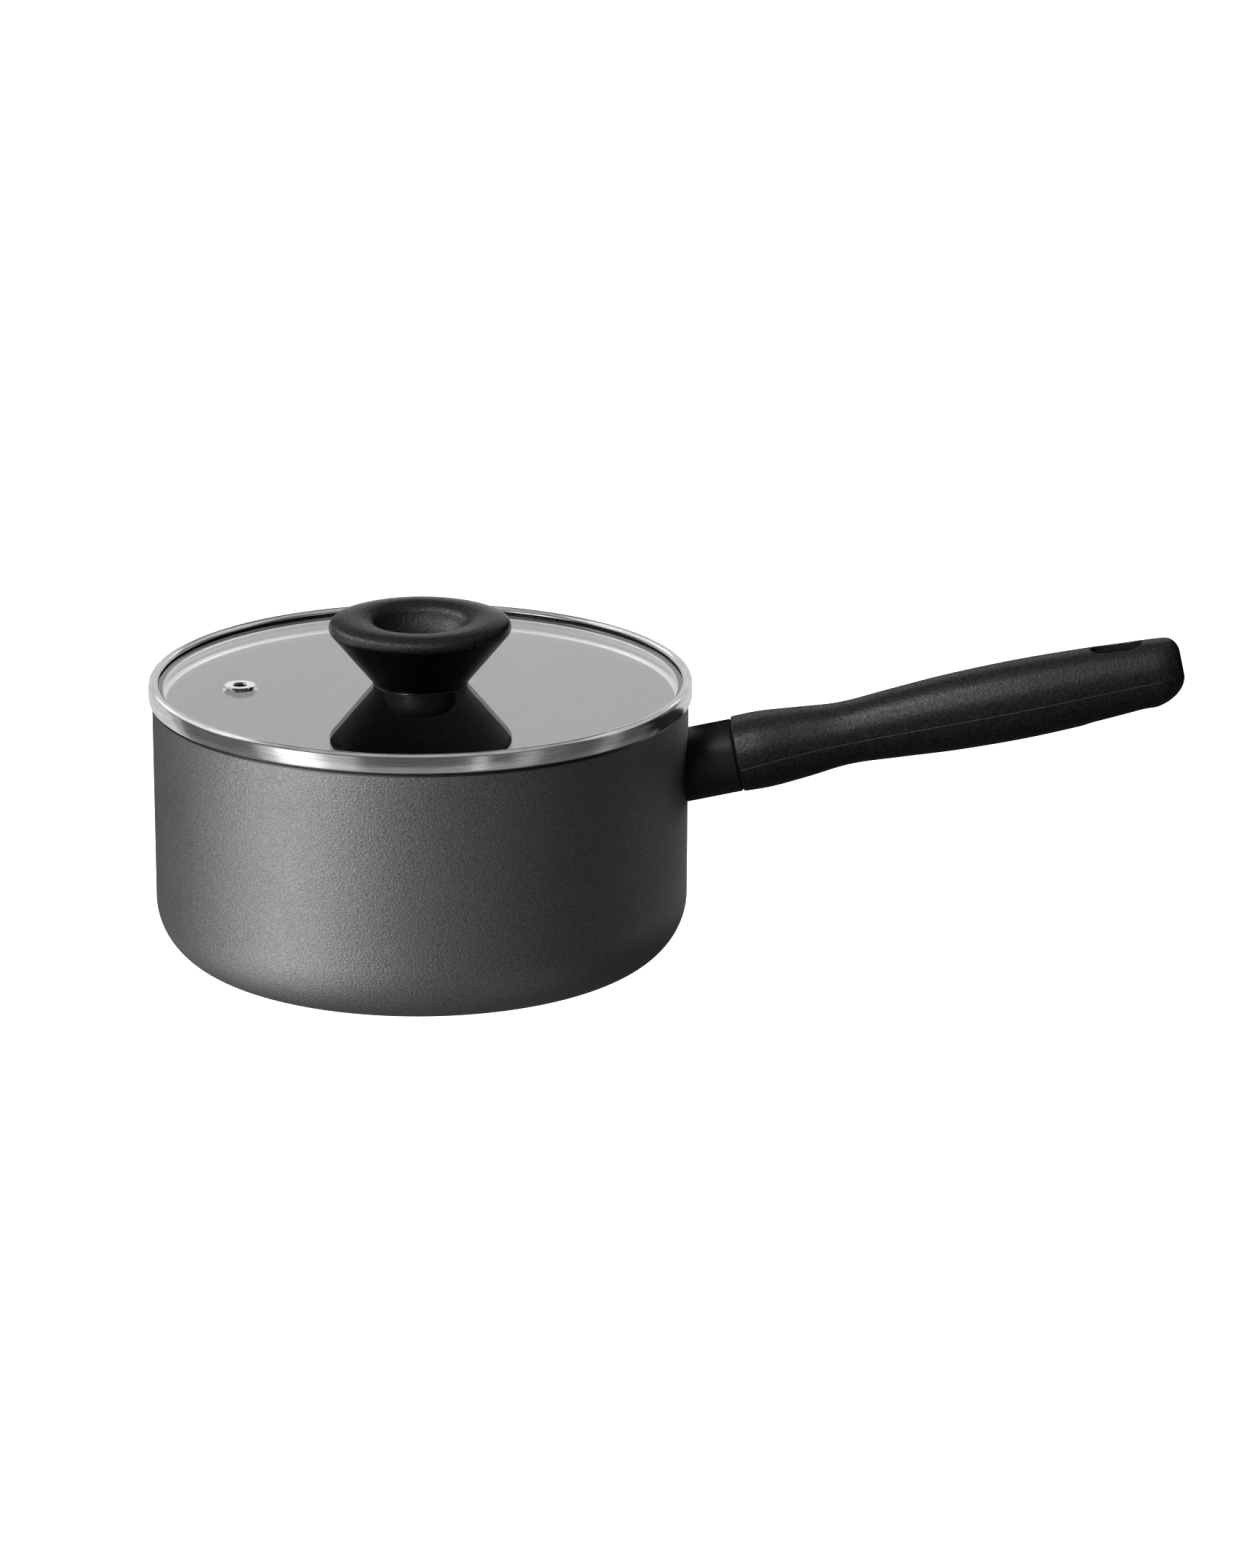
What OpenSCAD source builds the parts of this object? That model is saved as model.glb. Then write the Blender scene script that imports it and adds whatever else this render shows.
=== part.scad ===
// Saucepan with a flat glass lid: an aluminium pan, a riveted bracket that carries a
// flame guard and a moulded grip, and a lid of banded glass with a dished knob.
// The origin is on the pan's axis, on the surface that the base rests on.
// +X runs out along the handle and +Z is up. Sizes are in millimetres.

/* [Pan] */
// Outside radius of the pan at its rim
pan_r = 92.5; // [88:0.5:100]
// Height of the rim above the surface that the pan stands on
pan_h = 92; // [88:0.5:110]
// Thickness of the side wall
pan_wall = 2.3; // [2:0.1:2.8]
// Thickness of the base
base_t = 3.2; // [2.5:0.1:5]
// Outside radius of the corner between the base and the side
corner_r = 22; // [14:0.5:24]
// How much narrower the side is at the corner than at the rim
pan_taper = 0.5; // [0:0.1:1.5]
// Number of turned rings in the underside
base_rings = 6; // [0:1:8]
// Depth of each turned ring
ring_depth = 0.4; // [0.1:0.1:0.8]

/* [Handle] */
// Height of the handle's centre line where it meets the pan
handle_z = 67.5; // [60:0.5:70]
// Angle at which the handle rises, in degrees
handle_rise = 11.6; // [5:0.2:16]
// Distance from the pan to the joint between flame guard and grip
guard_len = 16.9; // [14:0.1:18]
// Half the width of the flame guard
guard_w = 15; // [14:0.1:16]
// Half the height of the flame guard
guard_h = 12.1; // [11.5:0.1:12.5]
// Wall thickness of the flame guard
guard_wall = 1.8; // [1.2:0.1:2]
// How much the grip's half-width is scaled
grip_fatness = 1; // [0.9:0.02:1.1]
// Roundness of the grip's section: 2 is an ellipse and more is squarer
grip_square = 2.3; // [2:0.05:2.8]
// Length of the hanging slot where it leaves the top
slot_len = 17.6; // [12:0.2:19]
// Width of the hanging slot where it leaves the top
slot_w = 10; // [7:0.2:11]

/* [Lid] */
// Height of the glass's top face
glass_top = 96.9; // [96.8:0.05:97]
// Thickness of the glass
glass_t = 4; // [3.8:0.1:4]
// Outside radius of the steel band
band_r = 93.8; // [93.6:0.1:94.4]
// Thickness of the band's sheet
band_t = 0.6; // [0.4:0.05:0.7]
// How far the skirt reaches down into the pan below the rim
skirt_depth = 4.6; // [4:0.2:9]
// Distance from the lid's centre to the steam vent
vent_dist = 62.2; // [45:0.5:70]
// Direction of the steam vent from the centre, in degrees
vent_angle = 184.6; // [0:0.1:360]

/* [Knob] */
// Radius of the knob's foot
knob_base_r = 16.2; // [14:0.1:18]
// Largest radius of the knob
knob_r = 31.5; // [29:0.1:34]
// Height of the knob's crest above the glass
knob_h = 23.4; // [22:0.1:26]
// Radius of the lip round the dish
dish_r = 17.5; // [15:0.1:19]
// Radius of the boss under the glass
seat_r = 12.4; // [10:0.1:14]
// Height of the boss under the glass
seat_h = 8.5; // [7:0.1:10]

/* [Hidden] */
$fn = 96;
eps = 0.01;

// Pan
side_foot_r = pan_r - pan_taper;
inner_corner_r = corner_r - 2.5;
rim_r = pan_wall / 2;
ring_pitch = 9;
ring_w = 2;
first_ring_r = 14;

// Bracket, rivets and nut
foot_t = 2;
foot_half_w = 12.4;
foot_half_h = 9;
tang_half_w = 5.5;
tang_half_h = 6;
tang_wall = 1.4;
tang_end = 35;
rivet_r = 2;
rivet_spread = 9.3;
rivet_head_r = 4.6;
rivet_head_h = 1.3;
rivet_tail_r = 2.9;
rivet_tail_h = 1.5;
rivet_gap = 0.05;
nut_across = 8;
nut_h = 4;

// M5 screws and washers
screw_r = 2.5;
screw_gap = 0.25;
head_r = 4.4;
head_h = 2.8;
cross_w = 1.1;
cross_len = 5;
cross_depth = 1.5;
washer_r = 5;
washer_t = 1;
spring_r = 4.3;
spring_t = 1.2;
spring_cut = 0.9;

// Grip. Each station is the distance from the pan along the handle, then the
// half-width, the height above the centre line and the depth below it.
GRIP = [
    [16.9, 15.6, 12.9, 12.3],
    [27, 15.2, 13.0, 12.6],
    [40, 13.2, 12.0, 11.8],
    [55, 11.8, 10.8, 10.4],
    [72, 12.1, 11.9, 11.4],
    [92, 13.1, 13.1, 12.8],
    [116, 13.7, 13.5, 13.4],
    [138, 12.9, 13.0, 12.9],
    [158, 11.9, 12.0, 11.9],
    [174, 10.9, 10.9, 10.9]
];
grip_start = GRIP[0][0] + 0.2;
grip_end = 173.8;
edge_round = 1.0;
tip_top = [4.5, 0.5];
tip_side = [9, 0.45];
tip_low = [13, 0.17];
section_points = 36;
socket_gap = 0.2;
slot_at = 152.6;
pocket_front = 134;
pocket_back = 164;
pocket_w = 14;
pocket_roof = 5;
screw_seat = 120;
screw_tip = 27;

// Lid
band_fillet = 1.2;
crown_r = 1.7;
crown_z = glass_top + 0.35;
lip_in = band_r - 2 * crown_r;
lip_foot = glass_top + 0.15;
lid_clear = 0.2;
band_foot = pan_h + lid_clear;
band_floor = band_foot + band_t;
skirt_r = 89.4;
hem_r = 0.85;
glass_r = band_r - 2.2;
glass_edge_r = 1;
glass_hole_r = 5;
glass_low = glass_top - glass_t;
seal_proud = 0.3;

// Vent
vent_hole_r = 3.2;
vent_tube_r = 3.0;
vent_bore_r = 2.3;
vent_flange_r = 5.35;
vent_flange_t = 0.7;
vent_roll_r = 4.3;
vent_washer_r = 6;
vent_washer_t = 0.6;

// Knob
gasket_t = 0.5;
gasket_inset = 0.7;
collar_proud = 0.3;
foot_chamfer = 0.4;
flare = 0.814;
edge_r = 2.6;
crown_sweep = 17.3;
lip_r = 4;
lip_turn = 150;
bowl_r = 12;
arc_steps = 12;
insert_r = 4.2;
insert_h = 13;
insert_groove = 0.4;
knob_foot_z = glass_top + gasket_t;
seat_top = glass_low - gasket_t;
seat_foot = seat_top - seat_h;
seat_fillet = 4.5;
seat_bore_r = 5.6;
seat_floor = seat_foot + 5.2;
knob_screw_tip = 107;

// Outside radius of the pan's side at a height
function side_r(z) = pan_r - pan_taper * (pan_h - z) / (pan_h - corner_r);

// Points along an arc, from angle a0 to a1
function arc(cx, cy, r, a0, a1, steps = arc_steps) =
    [for (i = [0:steps]) let (a = a0 + (a1 - a0) * i / steps) [cx + r * cos(a), cy + r * sin(a)]];

// A smooth curve through the grip's stations: column k at distance s
function slope(i, k) =
    let (n = len(GRIP) - 1, a = max(i - 1, 0), b = min(i + 1, n))
    (GRIP[b][k] - GRIP[a][k]) / (GRIP[b][0] - GRIP[a][0]);
function hermite(i, k, s) =
    let (w = GRIP[i + 1][0] - GRIP[i][0], u = (s - GRIP[i][0]) / w)
    (2 * pow(u, 3) - 3 * pow(u, 2) + 1) * GRIP[i][k]
    + (pow(u, 3) - 2 * pow(u, 2) + u) * w * slope(i, k)
    + (3 * pow(u, 2) - 2 * pow(u, 3)) * GRIP[i + 1][k]
    + (pow(u, 3) - pow(u, 2)) * w * slope(i + 1, k);
function station(s, i = 0) =
    i + 2 >= len(GRIP) || s <= GRIP[i + 1][0] ? i : station(s, i + 1);
function grip_size(s, k) = hermite(station(s), k, s);

// How much a round-over leaves of the section at distance d from the end face.
// It is r long, and the end face keeps the share left of the full size.
function round_over(d, r, left) =
    d >= r ? 1 : left + (1 - left) * sqrt(1 - pow(1 - max(d, 0) / r, 2));

// A rounded section: half-width w, height up above the middle and low below it
function oval(w, up, low, steps) = [
    for (i = [0:steps - 1])
    let (a = 360 * i / steps, c = cos(a), s = sin(a), p = 2 / grip_square)
    [w * sign(c) * pow(abs(c), p), (s > 0 ? up : low) * sign(s) * pow(abs(s), p)]
];

// The grip's half-width, height and depth at distance s, with both ends rounded over
function grip_ends(s, tip) = round_over(grip_end - s, tip[0], tip[1])
    * round_over(s - grip_start, edge_round, 1 - edge_round / guard_w);
function grip_oval(s) = oval(
    grip_fatness * grip_size(s, 1) * grip_ends(s, tip_side),
    grip_size(s, 2) * grip_ends(s, tip_top),
    grip_size(s, 3) * grip_ends(s, tip_low),
    section_points
);

// Distances at which the grip's sections are drawn: close together at both ends
plain_len = grip_end - grip_start - edge_round - tip_low[0];
grip_rows = concat(
    [for (a = [0:30:90]) grip_start + edge_round * (1 - cos(a))],
    [for (i = [1:20]) grip_start + edge_round + plain_len * i / 20],
    [for (a = [10:10:90]) grip_end - tip_low[0] * (1 - sin(a))]
);

// Places its children in the handle's own frame: +X along it, +Z square to it
module along_handle() {
    translate([pan_r, 0, handle_z]) rotate([0, -handle_rise, 0]) children();
}

// Turns a section drawn in Y and Z so that it runs out along +X
module run_out(from, to) {
    translate([from, 0, 0]) rotate([90, 0, 90]) linear_extrude(to - from) children();
}

// Places its children at each rivet, with +Z pointing out of the pan
module at_rivets() {
    for (side = [-1, 1])
        rotate([0, 0, side * asin(rivet_spread / pan_r)])
            translate([side_r(handle_z), 0, handle_z]) rotate([0, 90, 0]) children();
}

// The cone that the pan's side lies on, grown outwards by extra
module side_cone(extra) {
    translate([0, 0, corner_r])
        cylinder(h = pan_h - corner_r, r1 = side_foot_r + extra, r2 = pan_r + extra);
}

module rounded_rect(half_w, half_h, r) {
    square([2 * (half_w - r), 2 * half_h], center = true);
    square([2 * half_w, 2 * (half_h - r)], center = true);
    for (x = [-1, 1], y = [-1, 1]) translate([x * (half_w - r), y * (half_h - r)]) circle(r);
}

module stadium(len, w) {
    square([len - w, w], center = true);
    for (x = [-1, 1]) translate([x * (len - w) / 2, 0]) circle(w / 2);
}

module ring(r_out, r_in, h) {
    difference() {
        cylinder(h = h, r = r_out);
        translate([0, 0, -eps]) cylinder(h = h + 2 * eps, r = r_in);
    }
}

// A split lock washer, standing on z = 0
module spring_washer() {
    difference() {
        ring(spring_r, screw_r + screw_gap, spring_t);
        rotate([30, 0, 0]) translate([screw_r, -spring_cut / 2, -spring_t])
            cube([spring_r, spring_cut, 3 * spring_t]);
    }
}

// A pan-head screw: the head stands on z = 0 and the shank runs up from it
module screw(length) {
    difference() {
        union() {
            rotate_extrude() polygon(concat(
                [[0, -head_h]],
                arc(head_r - 1.2, 1.2 - head_h, 1.2, -90, 0, 6),
                [[head_r, 0], [0, 0]]
            ));
            translate([0, 0, -eps]) cylinder(h = length - 1 + eps, r = screw_r);
            translate([0, 0, length - 1]) cylinder(h = 1, r1 = screw_r, r2 = screw_r - 0.8);
        }
        for (turn = [0, 90])
            rotate([0, 0, turn]) translate([-cross_len / 2, -cross_w / 2, -head_h - eps])
                cube([cross_len, cross_w, cross_depth]);
    }
}

module pan_body() {
    color("dimgray")
    difference() {
        rotate_extrude() polygon(concat(
            [[0, 0]],
            arc(side_foot_r - corner_r, corner_r, corner_r, -90, 0, 16),
            arc(pan_r - rim_r, pan_h - rim_r, rim_r, 0, 180, 10),
            arc(side_foot_r - pan_wall - inner_corner_r, base_t + inner_corner_r,
                inner_corner_r, 0, -90, 16),
            [[0, base_t]]
        ));
        at_rivets() translate([0, 0, -2 * pan_wall])
            cylinder(h = 3 * pan_wall, r = rivet_r + rivet_gap);
        for (i = [0:1:base_rings - 1])
            translate([0, 0, -ring_depth])
                ring(first_ring_r + i * ring_pitch + ring_w, first_ring_r + i * ring_pitch,
                     2 * ring_depth);
    }
}

// The bracket's foot hugs the pan's side, and its tang is a box that runs into the grip
module handle_bracket() {
    color("silver")
    difference() {
        union() {
            intersection() {
                side_cone(foot_t);
                translate([0, 0, handle_z]) run_out(pan_r - 8, pan_r + 8)
                    polygon(oval(foot_half_w, foot_half_h, foot_half_h, 48));
            }
            along_handle() run_out(0, tang_end) rounded_rect(tang_half_w, tang_half_h, 1.5);
        }
        side_cone(0);
        along_handle() translate([foot_t + 1, -tang_half_w + tang_wall, -tang_half_h + tang_wall])
            cube([tang_end - foot_t - 1 - tang_wall, 2 * (tang_half_w - tang_wall),
                  2 * (tang_half_h - tang_wall)]);
        along_handle() rotate([0, 90, 0]) translate([0, 0, tang_end - 2 * tang_wall])
            cylinder(h = 3 * tang_wall, r = screw_r + screw_gap);
        at_rivets() translate([0, 0, -foot_t])
            cylinder(h = 3 * foot_t, r = rivet_r + rivet_gap);
    }
}

module bracket_rivets() {
    color("gainsboro") at_rivets() {
        translate([0, 0, -pan_wall - 1]) cylinder(h = pan_wall + foot_t + 1.5, r = rivet_r);
        translate([0, 0, -pan_wall - 0.1]) mirror([0, 0, 1]) rotate_extrude() polygon(concat(
            [[0, 0], [rivet_head_r, 0]],
            arc(rivet_head_r - 1.1, rivet_head_h - 1.1, 1.1, 0, 90, 8),
            [[0, rivet_head_h]]
        ));
        translate([0, 0, foot_t])
            cylinder(h = rivet_tail_h, r1 = rivet_tail_r, r2 = rivet_tail_r - 0.6);
    }
}

module bracket_nut() {
    color("silver")
    along_handle() rotate([0, 90, 0]) translate([0, 0, tang_end - tang_wall - nut_h])
        difference() {
            cylinder(h = nut_h, r = nut_across / 2 / cos(30), $fn = 6);
            translate([0, 0, -1]) cylinder(h = nut_h + 2, r = screw_r);
        }
}

module flame_guard() {
    inner_w = guard_w - guard_wall;
    inner_h = guard_h - guard_wall;
    color("#1c1c1c")
    difference() {
        along_handle() difference() {
            run_out(-5, guard_len) polygon(oval(guard_w, guard_h, guard_h, 64));
            run_out(-6, guard_len - guard_wall) polygon(oval(inner_w, inner_h, inner_h, 64));
            run_out(0, guard_len + 1)
                rounded_rect(tang_half_w + socket_gap, tang_half_h + socket_gap, 1.5);
        }
        side_cone(0.15);
    }
}

// The outer skin of the grip: ovals at each distance, joined side by side
module grip_skin() {
    n = section_points;
    rows = len(grip_rows);
    points = [for (s = grip_rows, p = grip_oval(s)) [s, p[0], p[1]]];
    sides = [
        for (r = [0:rows - 2], i = [0:n - 1])
        let (j = (i + 1) % n, a = r * n + i, b = r * n + j)
        each [[a, a + n, b + n], [a, b + n, b]]
    ];
    start_cap = [for (i = [0:n - 1]) i];
    end_cap = [for (i = [n - 1:-1:0]) (rows - 1) * n + i];
    polyhedron(points, concat(sides, [start_cap, end_cap]), convexity = 6);
}

module handle_grip() {
    color("#262626")
    along_handle() difference() {
        grip_skin();
        translate([slot_at, 0, 0]) linear_extrude(30) stadium(slot_len, slot_w);
        translate([(pocket_front + pocket_back) / 2, 0, pocket_roof - 30])
            linear_extrude(30) stadium(pocket_back - pocket_front, pocket_w);
        run_out(grip_start - 5, tang_end + 1)
            rounded_rect(tang_half_w + socket_gap, tang_half_h + socket_gap, 1.5);
        rotate([0, 90, 0]) cylinder(h = screw_seat + 1, r = screw_r + 2 * screw_gap);
        rotate([0, 90, 0]) translate([0, 0, screw_seat])
            cylinder(h = pocket_front + 8 - screw_seat, r = washer_r + screw_gap);
    }
}

// The long screw enters from the hanging slot and pulls the grip on to the bracket
module handle_screw() {
    color("silver")
    along_handle() translate([screw_seat + washer_t + spring_t, 0, 0]) rotate([0, -90, 0])
        screw(screw_seat + washer_t + spring_t - screw_tip);
}

module handle_plain_washer() {
    color("silver")
    along_handle() translate([screw_seat, 0, 0]) rotate([0, 90, 0])
        ring(washer_r, screw_r + screw_gap, washer_t);
}

module handle_spring_washer() {
    color("darkgray")
    along_handle() translate([screw_seat + washer_t, 0, 0]) rotate([0, 90, 0]) spring_washer();
}

// The glass's ground edge, from its underside round to its top
glass_edge = concat(
    arc(glass_r - glass_edge_r, glass_low + glass_edge_r, glass_edge_r, -90, 0, 8),
    arc(glass_r - glass_edge_r, glass_top - glass_edge_r, glass_edge_r, 0, 90, 8)
);

module at_vent() {
    rotate([0, 0, vent_angle]) translate([vent_dist, 0, 0]) children();
}

module lid_glass() {
    color([0.75, 0.78, 0.78, 0.4])
    difference() {
        rotate_extrude() polygon(concat([[0, glass_low]], glass_edge, [[0, glass_top]]));
        translate([0, 0, glass_low - 1]) cylinder(h = glass_t + 2, r = glass_hole_r);
        at_vent() translate([0, 0, glass_low - 1]) cylinder(h = glass_t + 2, r = vent_hole_r);
    }
}

// The outer face of the band, moved inwards by inset: crown, wall and rolled foot
function band_face(inset) = concat(
    arc(band_r - crown_r, crown_z, crown_r - inset, 180, 0),
    arc(band_r - band_fillet, band_foot + band_fillet, band_fillet - inset, 0, -90, 8)
);

// Items of a list from last to first
function reversed(list) = [for (i = [len(list) - 1:-1:0]) list[i]];

// One strip of sheet: lip, crown, wall, foot and flange, then the skirt with its hem
module lid_band() {
    hem_z = pan_h - skirt_depth + hem_r;
    color("gainsboro")
    rotate_extrude() polygon(concat(
        [[lip_in, lip_foot]],
        band_face(0),
        [[skirt_r, band_foot]],
        arc(skirt_r - hem_r, hem_z, hem_r, 0, acos(1 - band_t / hem_r) - 360, 16),
        [[skirt_r - band_t, band_floor]],
        reversed(band_face(band_t)),
        [[lip_in + band_t, lip_foot]]
    ));
}

// Sealing compound between the glass's edge and the band, with a thin bead inside the lip
module band_seal() {
    color("#202020")
    rotate_extrude() polygon(concat(
        [[lip_in - seal_proud, glass_top], [lip_in - seal_proud, lip_foot],
         [lip_in + band_t, lip_foot]],
        band_face(band_t),
        [[skirt_r - band_t, band_floor], [skirt_r - band_t, glass_low]],
        glass_edge
    ));
}

module vent_eyelet() {
    low = glass_low - vent_washer_t;
    color("whitesmoke")
    at_vent() rotate_extrude() polygon(concat(
        [[vent_bore_r, low - 0.5]],
        [[vent_roll_r - 0.3, low - 0.5], [vent_roll_r, low - 0.2], [vent_roll_r, low],
         [vent_tube_r, low], [vent_tube_r, glass_top], [vent_flange_r, glass_top]],
        arc(vent_flange_r - 0.35, glass_top + 0.35, 0.35, 0, 80, 6),
        arc(vent_bore_r + 0.6, glass_top + vent_flange_t, 0.6, 90, 180, 6)
    ));
}

module vent_washer() {
    color("gainsboro")
    at_vent() translate([0, 0, glass_low - vent_washer_t])
        ring(vent_washer_r, vent_tube_r + 0.1, vent_washer_t);
}

// The knob flares out from its foot, rounds over its edge and dips into a dish.
// Each arc starts where the one before it ends, and in the same direction.
module knob() {
    flare_turn = -atan(flare);
    crown_half = (knob_r - edge_r - dish_r) / 2;
    edge_x = knob_r - edge_r;
    crown_big_r = (edge_x + edge_r * sin(crown_sweep) - dish_r) / 2 / sin(crown_sweep);
    crown_x = dish_r + crown_big_r * sin(crown_sweep);
    crown_y = glass_top + knob_h - crown_big_r;
    edge_y = crown_y + (crown_big_r - edge_r) * cos(crown_sweep);
    lip_x = dish_r + lip_r * sin(crown_sweep);
    lip_y = crown_y + (crown_big_r - lip_r) * cos(crown_sweep);
    bowl_x = lip_x + (lip_r + bowl_r) * cos(lip_turn);
    bowl_y = lip_y + (lip_r + bowl_r) * sin(lip_turn);
    color("#222222")
    difference() {
        rotate_extrude() polygon(concat(
            [[0, knob_foot_z], [knob_base_r - foot_chamfer, knob_foot_z],
             [knob_base_r, knob_foot_z + foot_chamfer]],
            arc(edge_x, edge_y, edge_r, flare_turn, 90 - crown_sweep, 10),
            arc(crown_x, crown_y, crown_big_r, 90 - crown_sweep, 90 + crown_sweep, 12),
            arc(lip_x, lip_y, lip_r, 90 + crown_sweep, lip_turn, 6),
            arc(bowl_x, bowl_y, bowl_r, lip_turn - 180, -90, 12),
            [[0, bowl_y - bowl_r]]
        ));
        translate([0, 0, knob_foot_z - 1]) cylinder(h = insert_h + 1, r = insert_r);
    }
}

module knob_insert() {
    color("goldenrod")
    translate([0, 0, knob_foot_z]) difference() {
        cylinder(h = insert_h - 0.2, r = insert_r);
        translate([0, 0, -1]) cylinder(h = insert_h + 2, r = screw_r);
        for (z = [3, 8]) translate([0, 0, z]) ring(insert_r + 1, insert_r - insert_groove, 1.5);
    }
}

// A washer under the knob, with a collar that lines the hole through the glass
module knob_gasket() {
    color("#303030")
    rotate_extrude() polygon([
        [screw_r + screw_gap, glass_low], [glass_hole_r, glass_low], [glass_hole_r, glass_top],
        [knob_base_r + collar_proud, glass_top], [knob_base_r + collar_proud, knob_foot_z],
        [screw_r + screw_gap, knob_foot_z]
    ]);
}

module knob_seat() {
    color("#1a1a1a")
    difference() {
        rotate_extrude() polygon(concat(
            [[0, seat_foot]],
            arc(seat_r - seat_fillet, seat_foot + seat_fillet, seat_fillet, -90, 0, 8),
            [[seat_r, seat_top], [0, seat_top]]
        ));
        translate([0, 0, seat_foot - 1]) cylinder(h = seat_floor - seat_foot + 1, r = seat_bore_r);
        translate([0, 0, seat_foot]) cylinder(h = seat_h + 1, r = screw_r + screw_gap);
    }
}

module seat_gasket() {
    color("#303030")
    translate([0, 0, seat_top]) ring(seat_r - gasket_inset, screw_r + screw_gap, gasket_t);
}

module knob_screw() {
    under_head = seat_floor - washer_t - spring_t;
    color("silver") translate([0, 0, under_head]) screw(knob_screw_tip - under_head);
}

module knob_plain_washer() {
    color("silver")
    translate([0, 0, seat_floor - washer_t]) ring(washer_r, screw_r + screw_gap, washer_t);
}

module knob_spring_washer() {
    color("darkgray") translate([0, 0, seat_floor - washer_t - spring_t]) spring_washer();
}

pan_body();
handle_bracket();
bracket_rivets();
bracket_nut();
flame_guard();
handle_grip();
handle_screw();
handle_plain_washer();
handle_spring_washer();
lid_glass();
lid_band();
band_seal();
vent_eyelet();
vent_washer();
knob();
knob_insert();
knob_gasket();
knob_seat();
seat_gasket();
knob_screw();
knob_plain_washer();
knob_spring_washer();
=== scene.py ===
import math

import bmesh
import bpy
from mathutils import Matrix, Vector


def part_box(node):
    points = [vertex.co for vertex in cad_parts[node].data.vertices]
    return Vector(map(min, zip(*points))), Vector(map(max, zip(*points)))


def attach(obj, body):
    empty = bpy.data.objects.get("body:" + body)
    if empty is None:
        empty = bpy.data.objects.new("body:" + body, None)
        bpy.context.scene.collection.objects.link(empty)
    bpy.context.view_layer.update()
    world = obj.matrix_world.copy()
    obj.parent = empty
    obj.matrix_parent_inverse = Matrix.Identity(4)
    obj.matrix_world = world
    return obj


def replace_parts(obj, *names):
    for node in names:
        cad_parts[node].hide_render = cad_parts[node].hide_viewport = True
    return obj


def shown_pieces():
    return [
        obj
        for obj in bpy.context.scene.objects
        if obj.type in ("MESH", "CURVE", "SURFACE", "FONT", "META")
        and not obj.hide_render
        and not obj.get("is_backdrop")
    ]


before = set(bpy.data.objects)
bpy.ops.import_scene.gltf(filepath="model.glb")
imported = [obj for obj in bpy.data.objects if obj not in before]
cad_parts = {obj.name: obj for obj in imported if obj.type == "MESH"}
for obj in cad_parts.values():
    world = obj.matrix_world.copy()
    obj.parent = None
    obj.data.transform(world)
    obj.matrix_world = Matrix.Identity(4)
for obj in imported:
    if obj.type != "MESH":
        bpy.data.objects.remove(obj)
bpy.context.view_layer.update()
MM = 0.001


# ---------------------------------------------------------------- sizes, in millimetres
def extent(name):
    """A CAD node's box in millimetres, as (low, high)."""
    lo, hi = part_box(name)
    return [c / MM for c in lo], [c / MM for c in hi]


pan_hi, band_hi, glass_box = extent("pan_body")[1], extent("lid_band")[1], extent("lid_glass")
knob_box, seat_box = extent("knob"), extent("knob_seat")
PAN_R, PAN_H = -extent("pan_body")[0][1], pan_hi[2]
BAND_R = band_hi[1]
GLASS_TOP, GLASS_LOW = glass_box[1][2], glass_box[0][2]
KNOB_R, KNOB_FOOT, KNOB_TOP = knob_box[1][1], knob_box[0][2], knob_box[1][2]
SEAT_R, SEAT_FOOT, SEAT_TOP = seat_box[1][1], seat_box[0][2], seat_box[1][2]

# the pan's wall and base, its outer and inner corner radius, and how much the wall leans out
WALL, BASE_T, CORNER_R, INNER_R, TAPER = 2.3, 3.2, 22.0, 19.5, 0.5
# the side's radius where the corner begins
SIDE_FOOT = PAN_R - TAPER
# the turned rings underneath: how many, the first one's inner radius, their spacing, width and depth
RINGS, RING_FIRST, RING_STEP, RING_W, RING_D = 6, 14, 9, 2, 0.4
# how far a ring's sides lean in, and the roundings at its mouth and its floor
RING_LEAN, RING_MOUTH_R, RING_FLOOR_R = 0.15, 0.25, 0.15

# the height at which the handle's middle meets the pan's side, and the angle of its rise
HANDLE_Z, RISE = 67.5, math.radians(11.6)
# the power of the rounded section that flame guard and grip share
SQUARE = 2.3
# the flame guard: its length, half-width, half-height and wall
GUARD_LEN, GUARD_W, GUARD_H, GUARD_WALL = 16.9, 15.0, 12.1, 1.8
# its rounded ends, how far it stands off the pan, and its inner wall's extra distance there
GUARD_ROOT_R, GUARD_END_R, PAN_GAP, INNER_GAP = 0.35, 0.5, 0.15, 0.1
# the ledge on its end face: its foot and its edge as shares of the section, its gap to the grip
LEDGE_FOOT, LEDGE_EDGE, LEDGE_GAP = 0.93, 0.925, 0.02
# the grip's stations: distance from the pan, half-width, height above and below the middle
GRIP = [
    (16.9, 15.6, 12.9, 12.3), (27, 15.2, 13.0, 12.6), (40, 13.2, 12.0, 11.8),
    (55, 11.8, 10.8, 10.4), (72, 12.1, 11.9, 11.4), (92, 13.1, 13.1, 12.8),
    (116, 13.7, 13.5, 13.4), (138, 12.9, 13.0, 12.9), (158, 11.9, 12.0, 11.9),
    (174, 10.9, 10.9, 10.9),
]
GRIP_START, GRIP_END = 17.1, 173.8
# its rounded ends, each as a length and the share of the size that is left at the very end
FRONT_ROUND = (1.0, 1 - 1.0 / 15)
TIP_SIDES, TIP_TOP, TIP_UNDERSIDE = (9, 0.45), (4.5, 0.5), (13, 0.17)
# a loop of open edges that is closer to an end than this is the end itself
END_ZONE = 5
# the hanging slot: its middle, length, width and edge rounding
SLOT_AT, SLOT_LEN, SLOT_W, SLOT_EDGE = 152.6, 17.6, 10.0, 0.7
# the pocket under the tip: its front, back and width, its roof's height and its edge rounding
POCKET_FRONT, POCKET_BACK, POCKET_W, POCKET_ROOF, POCKET_EDGE = 134.0, 164.0, 14.0, 5.0, 0.6
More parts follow.
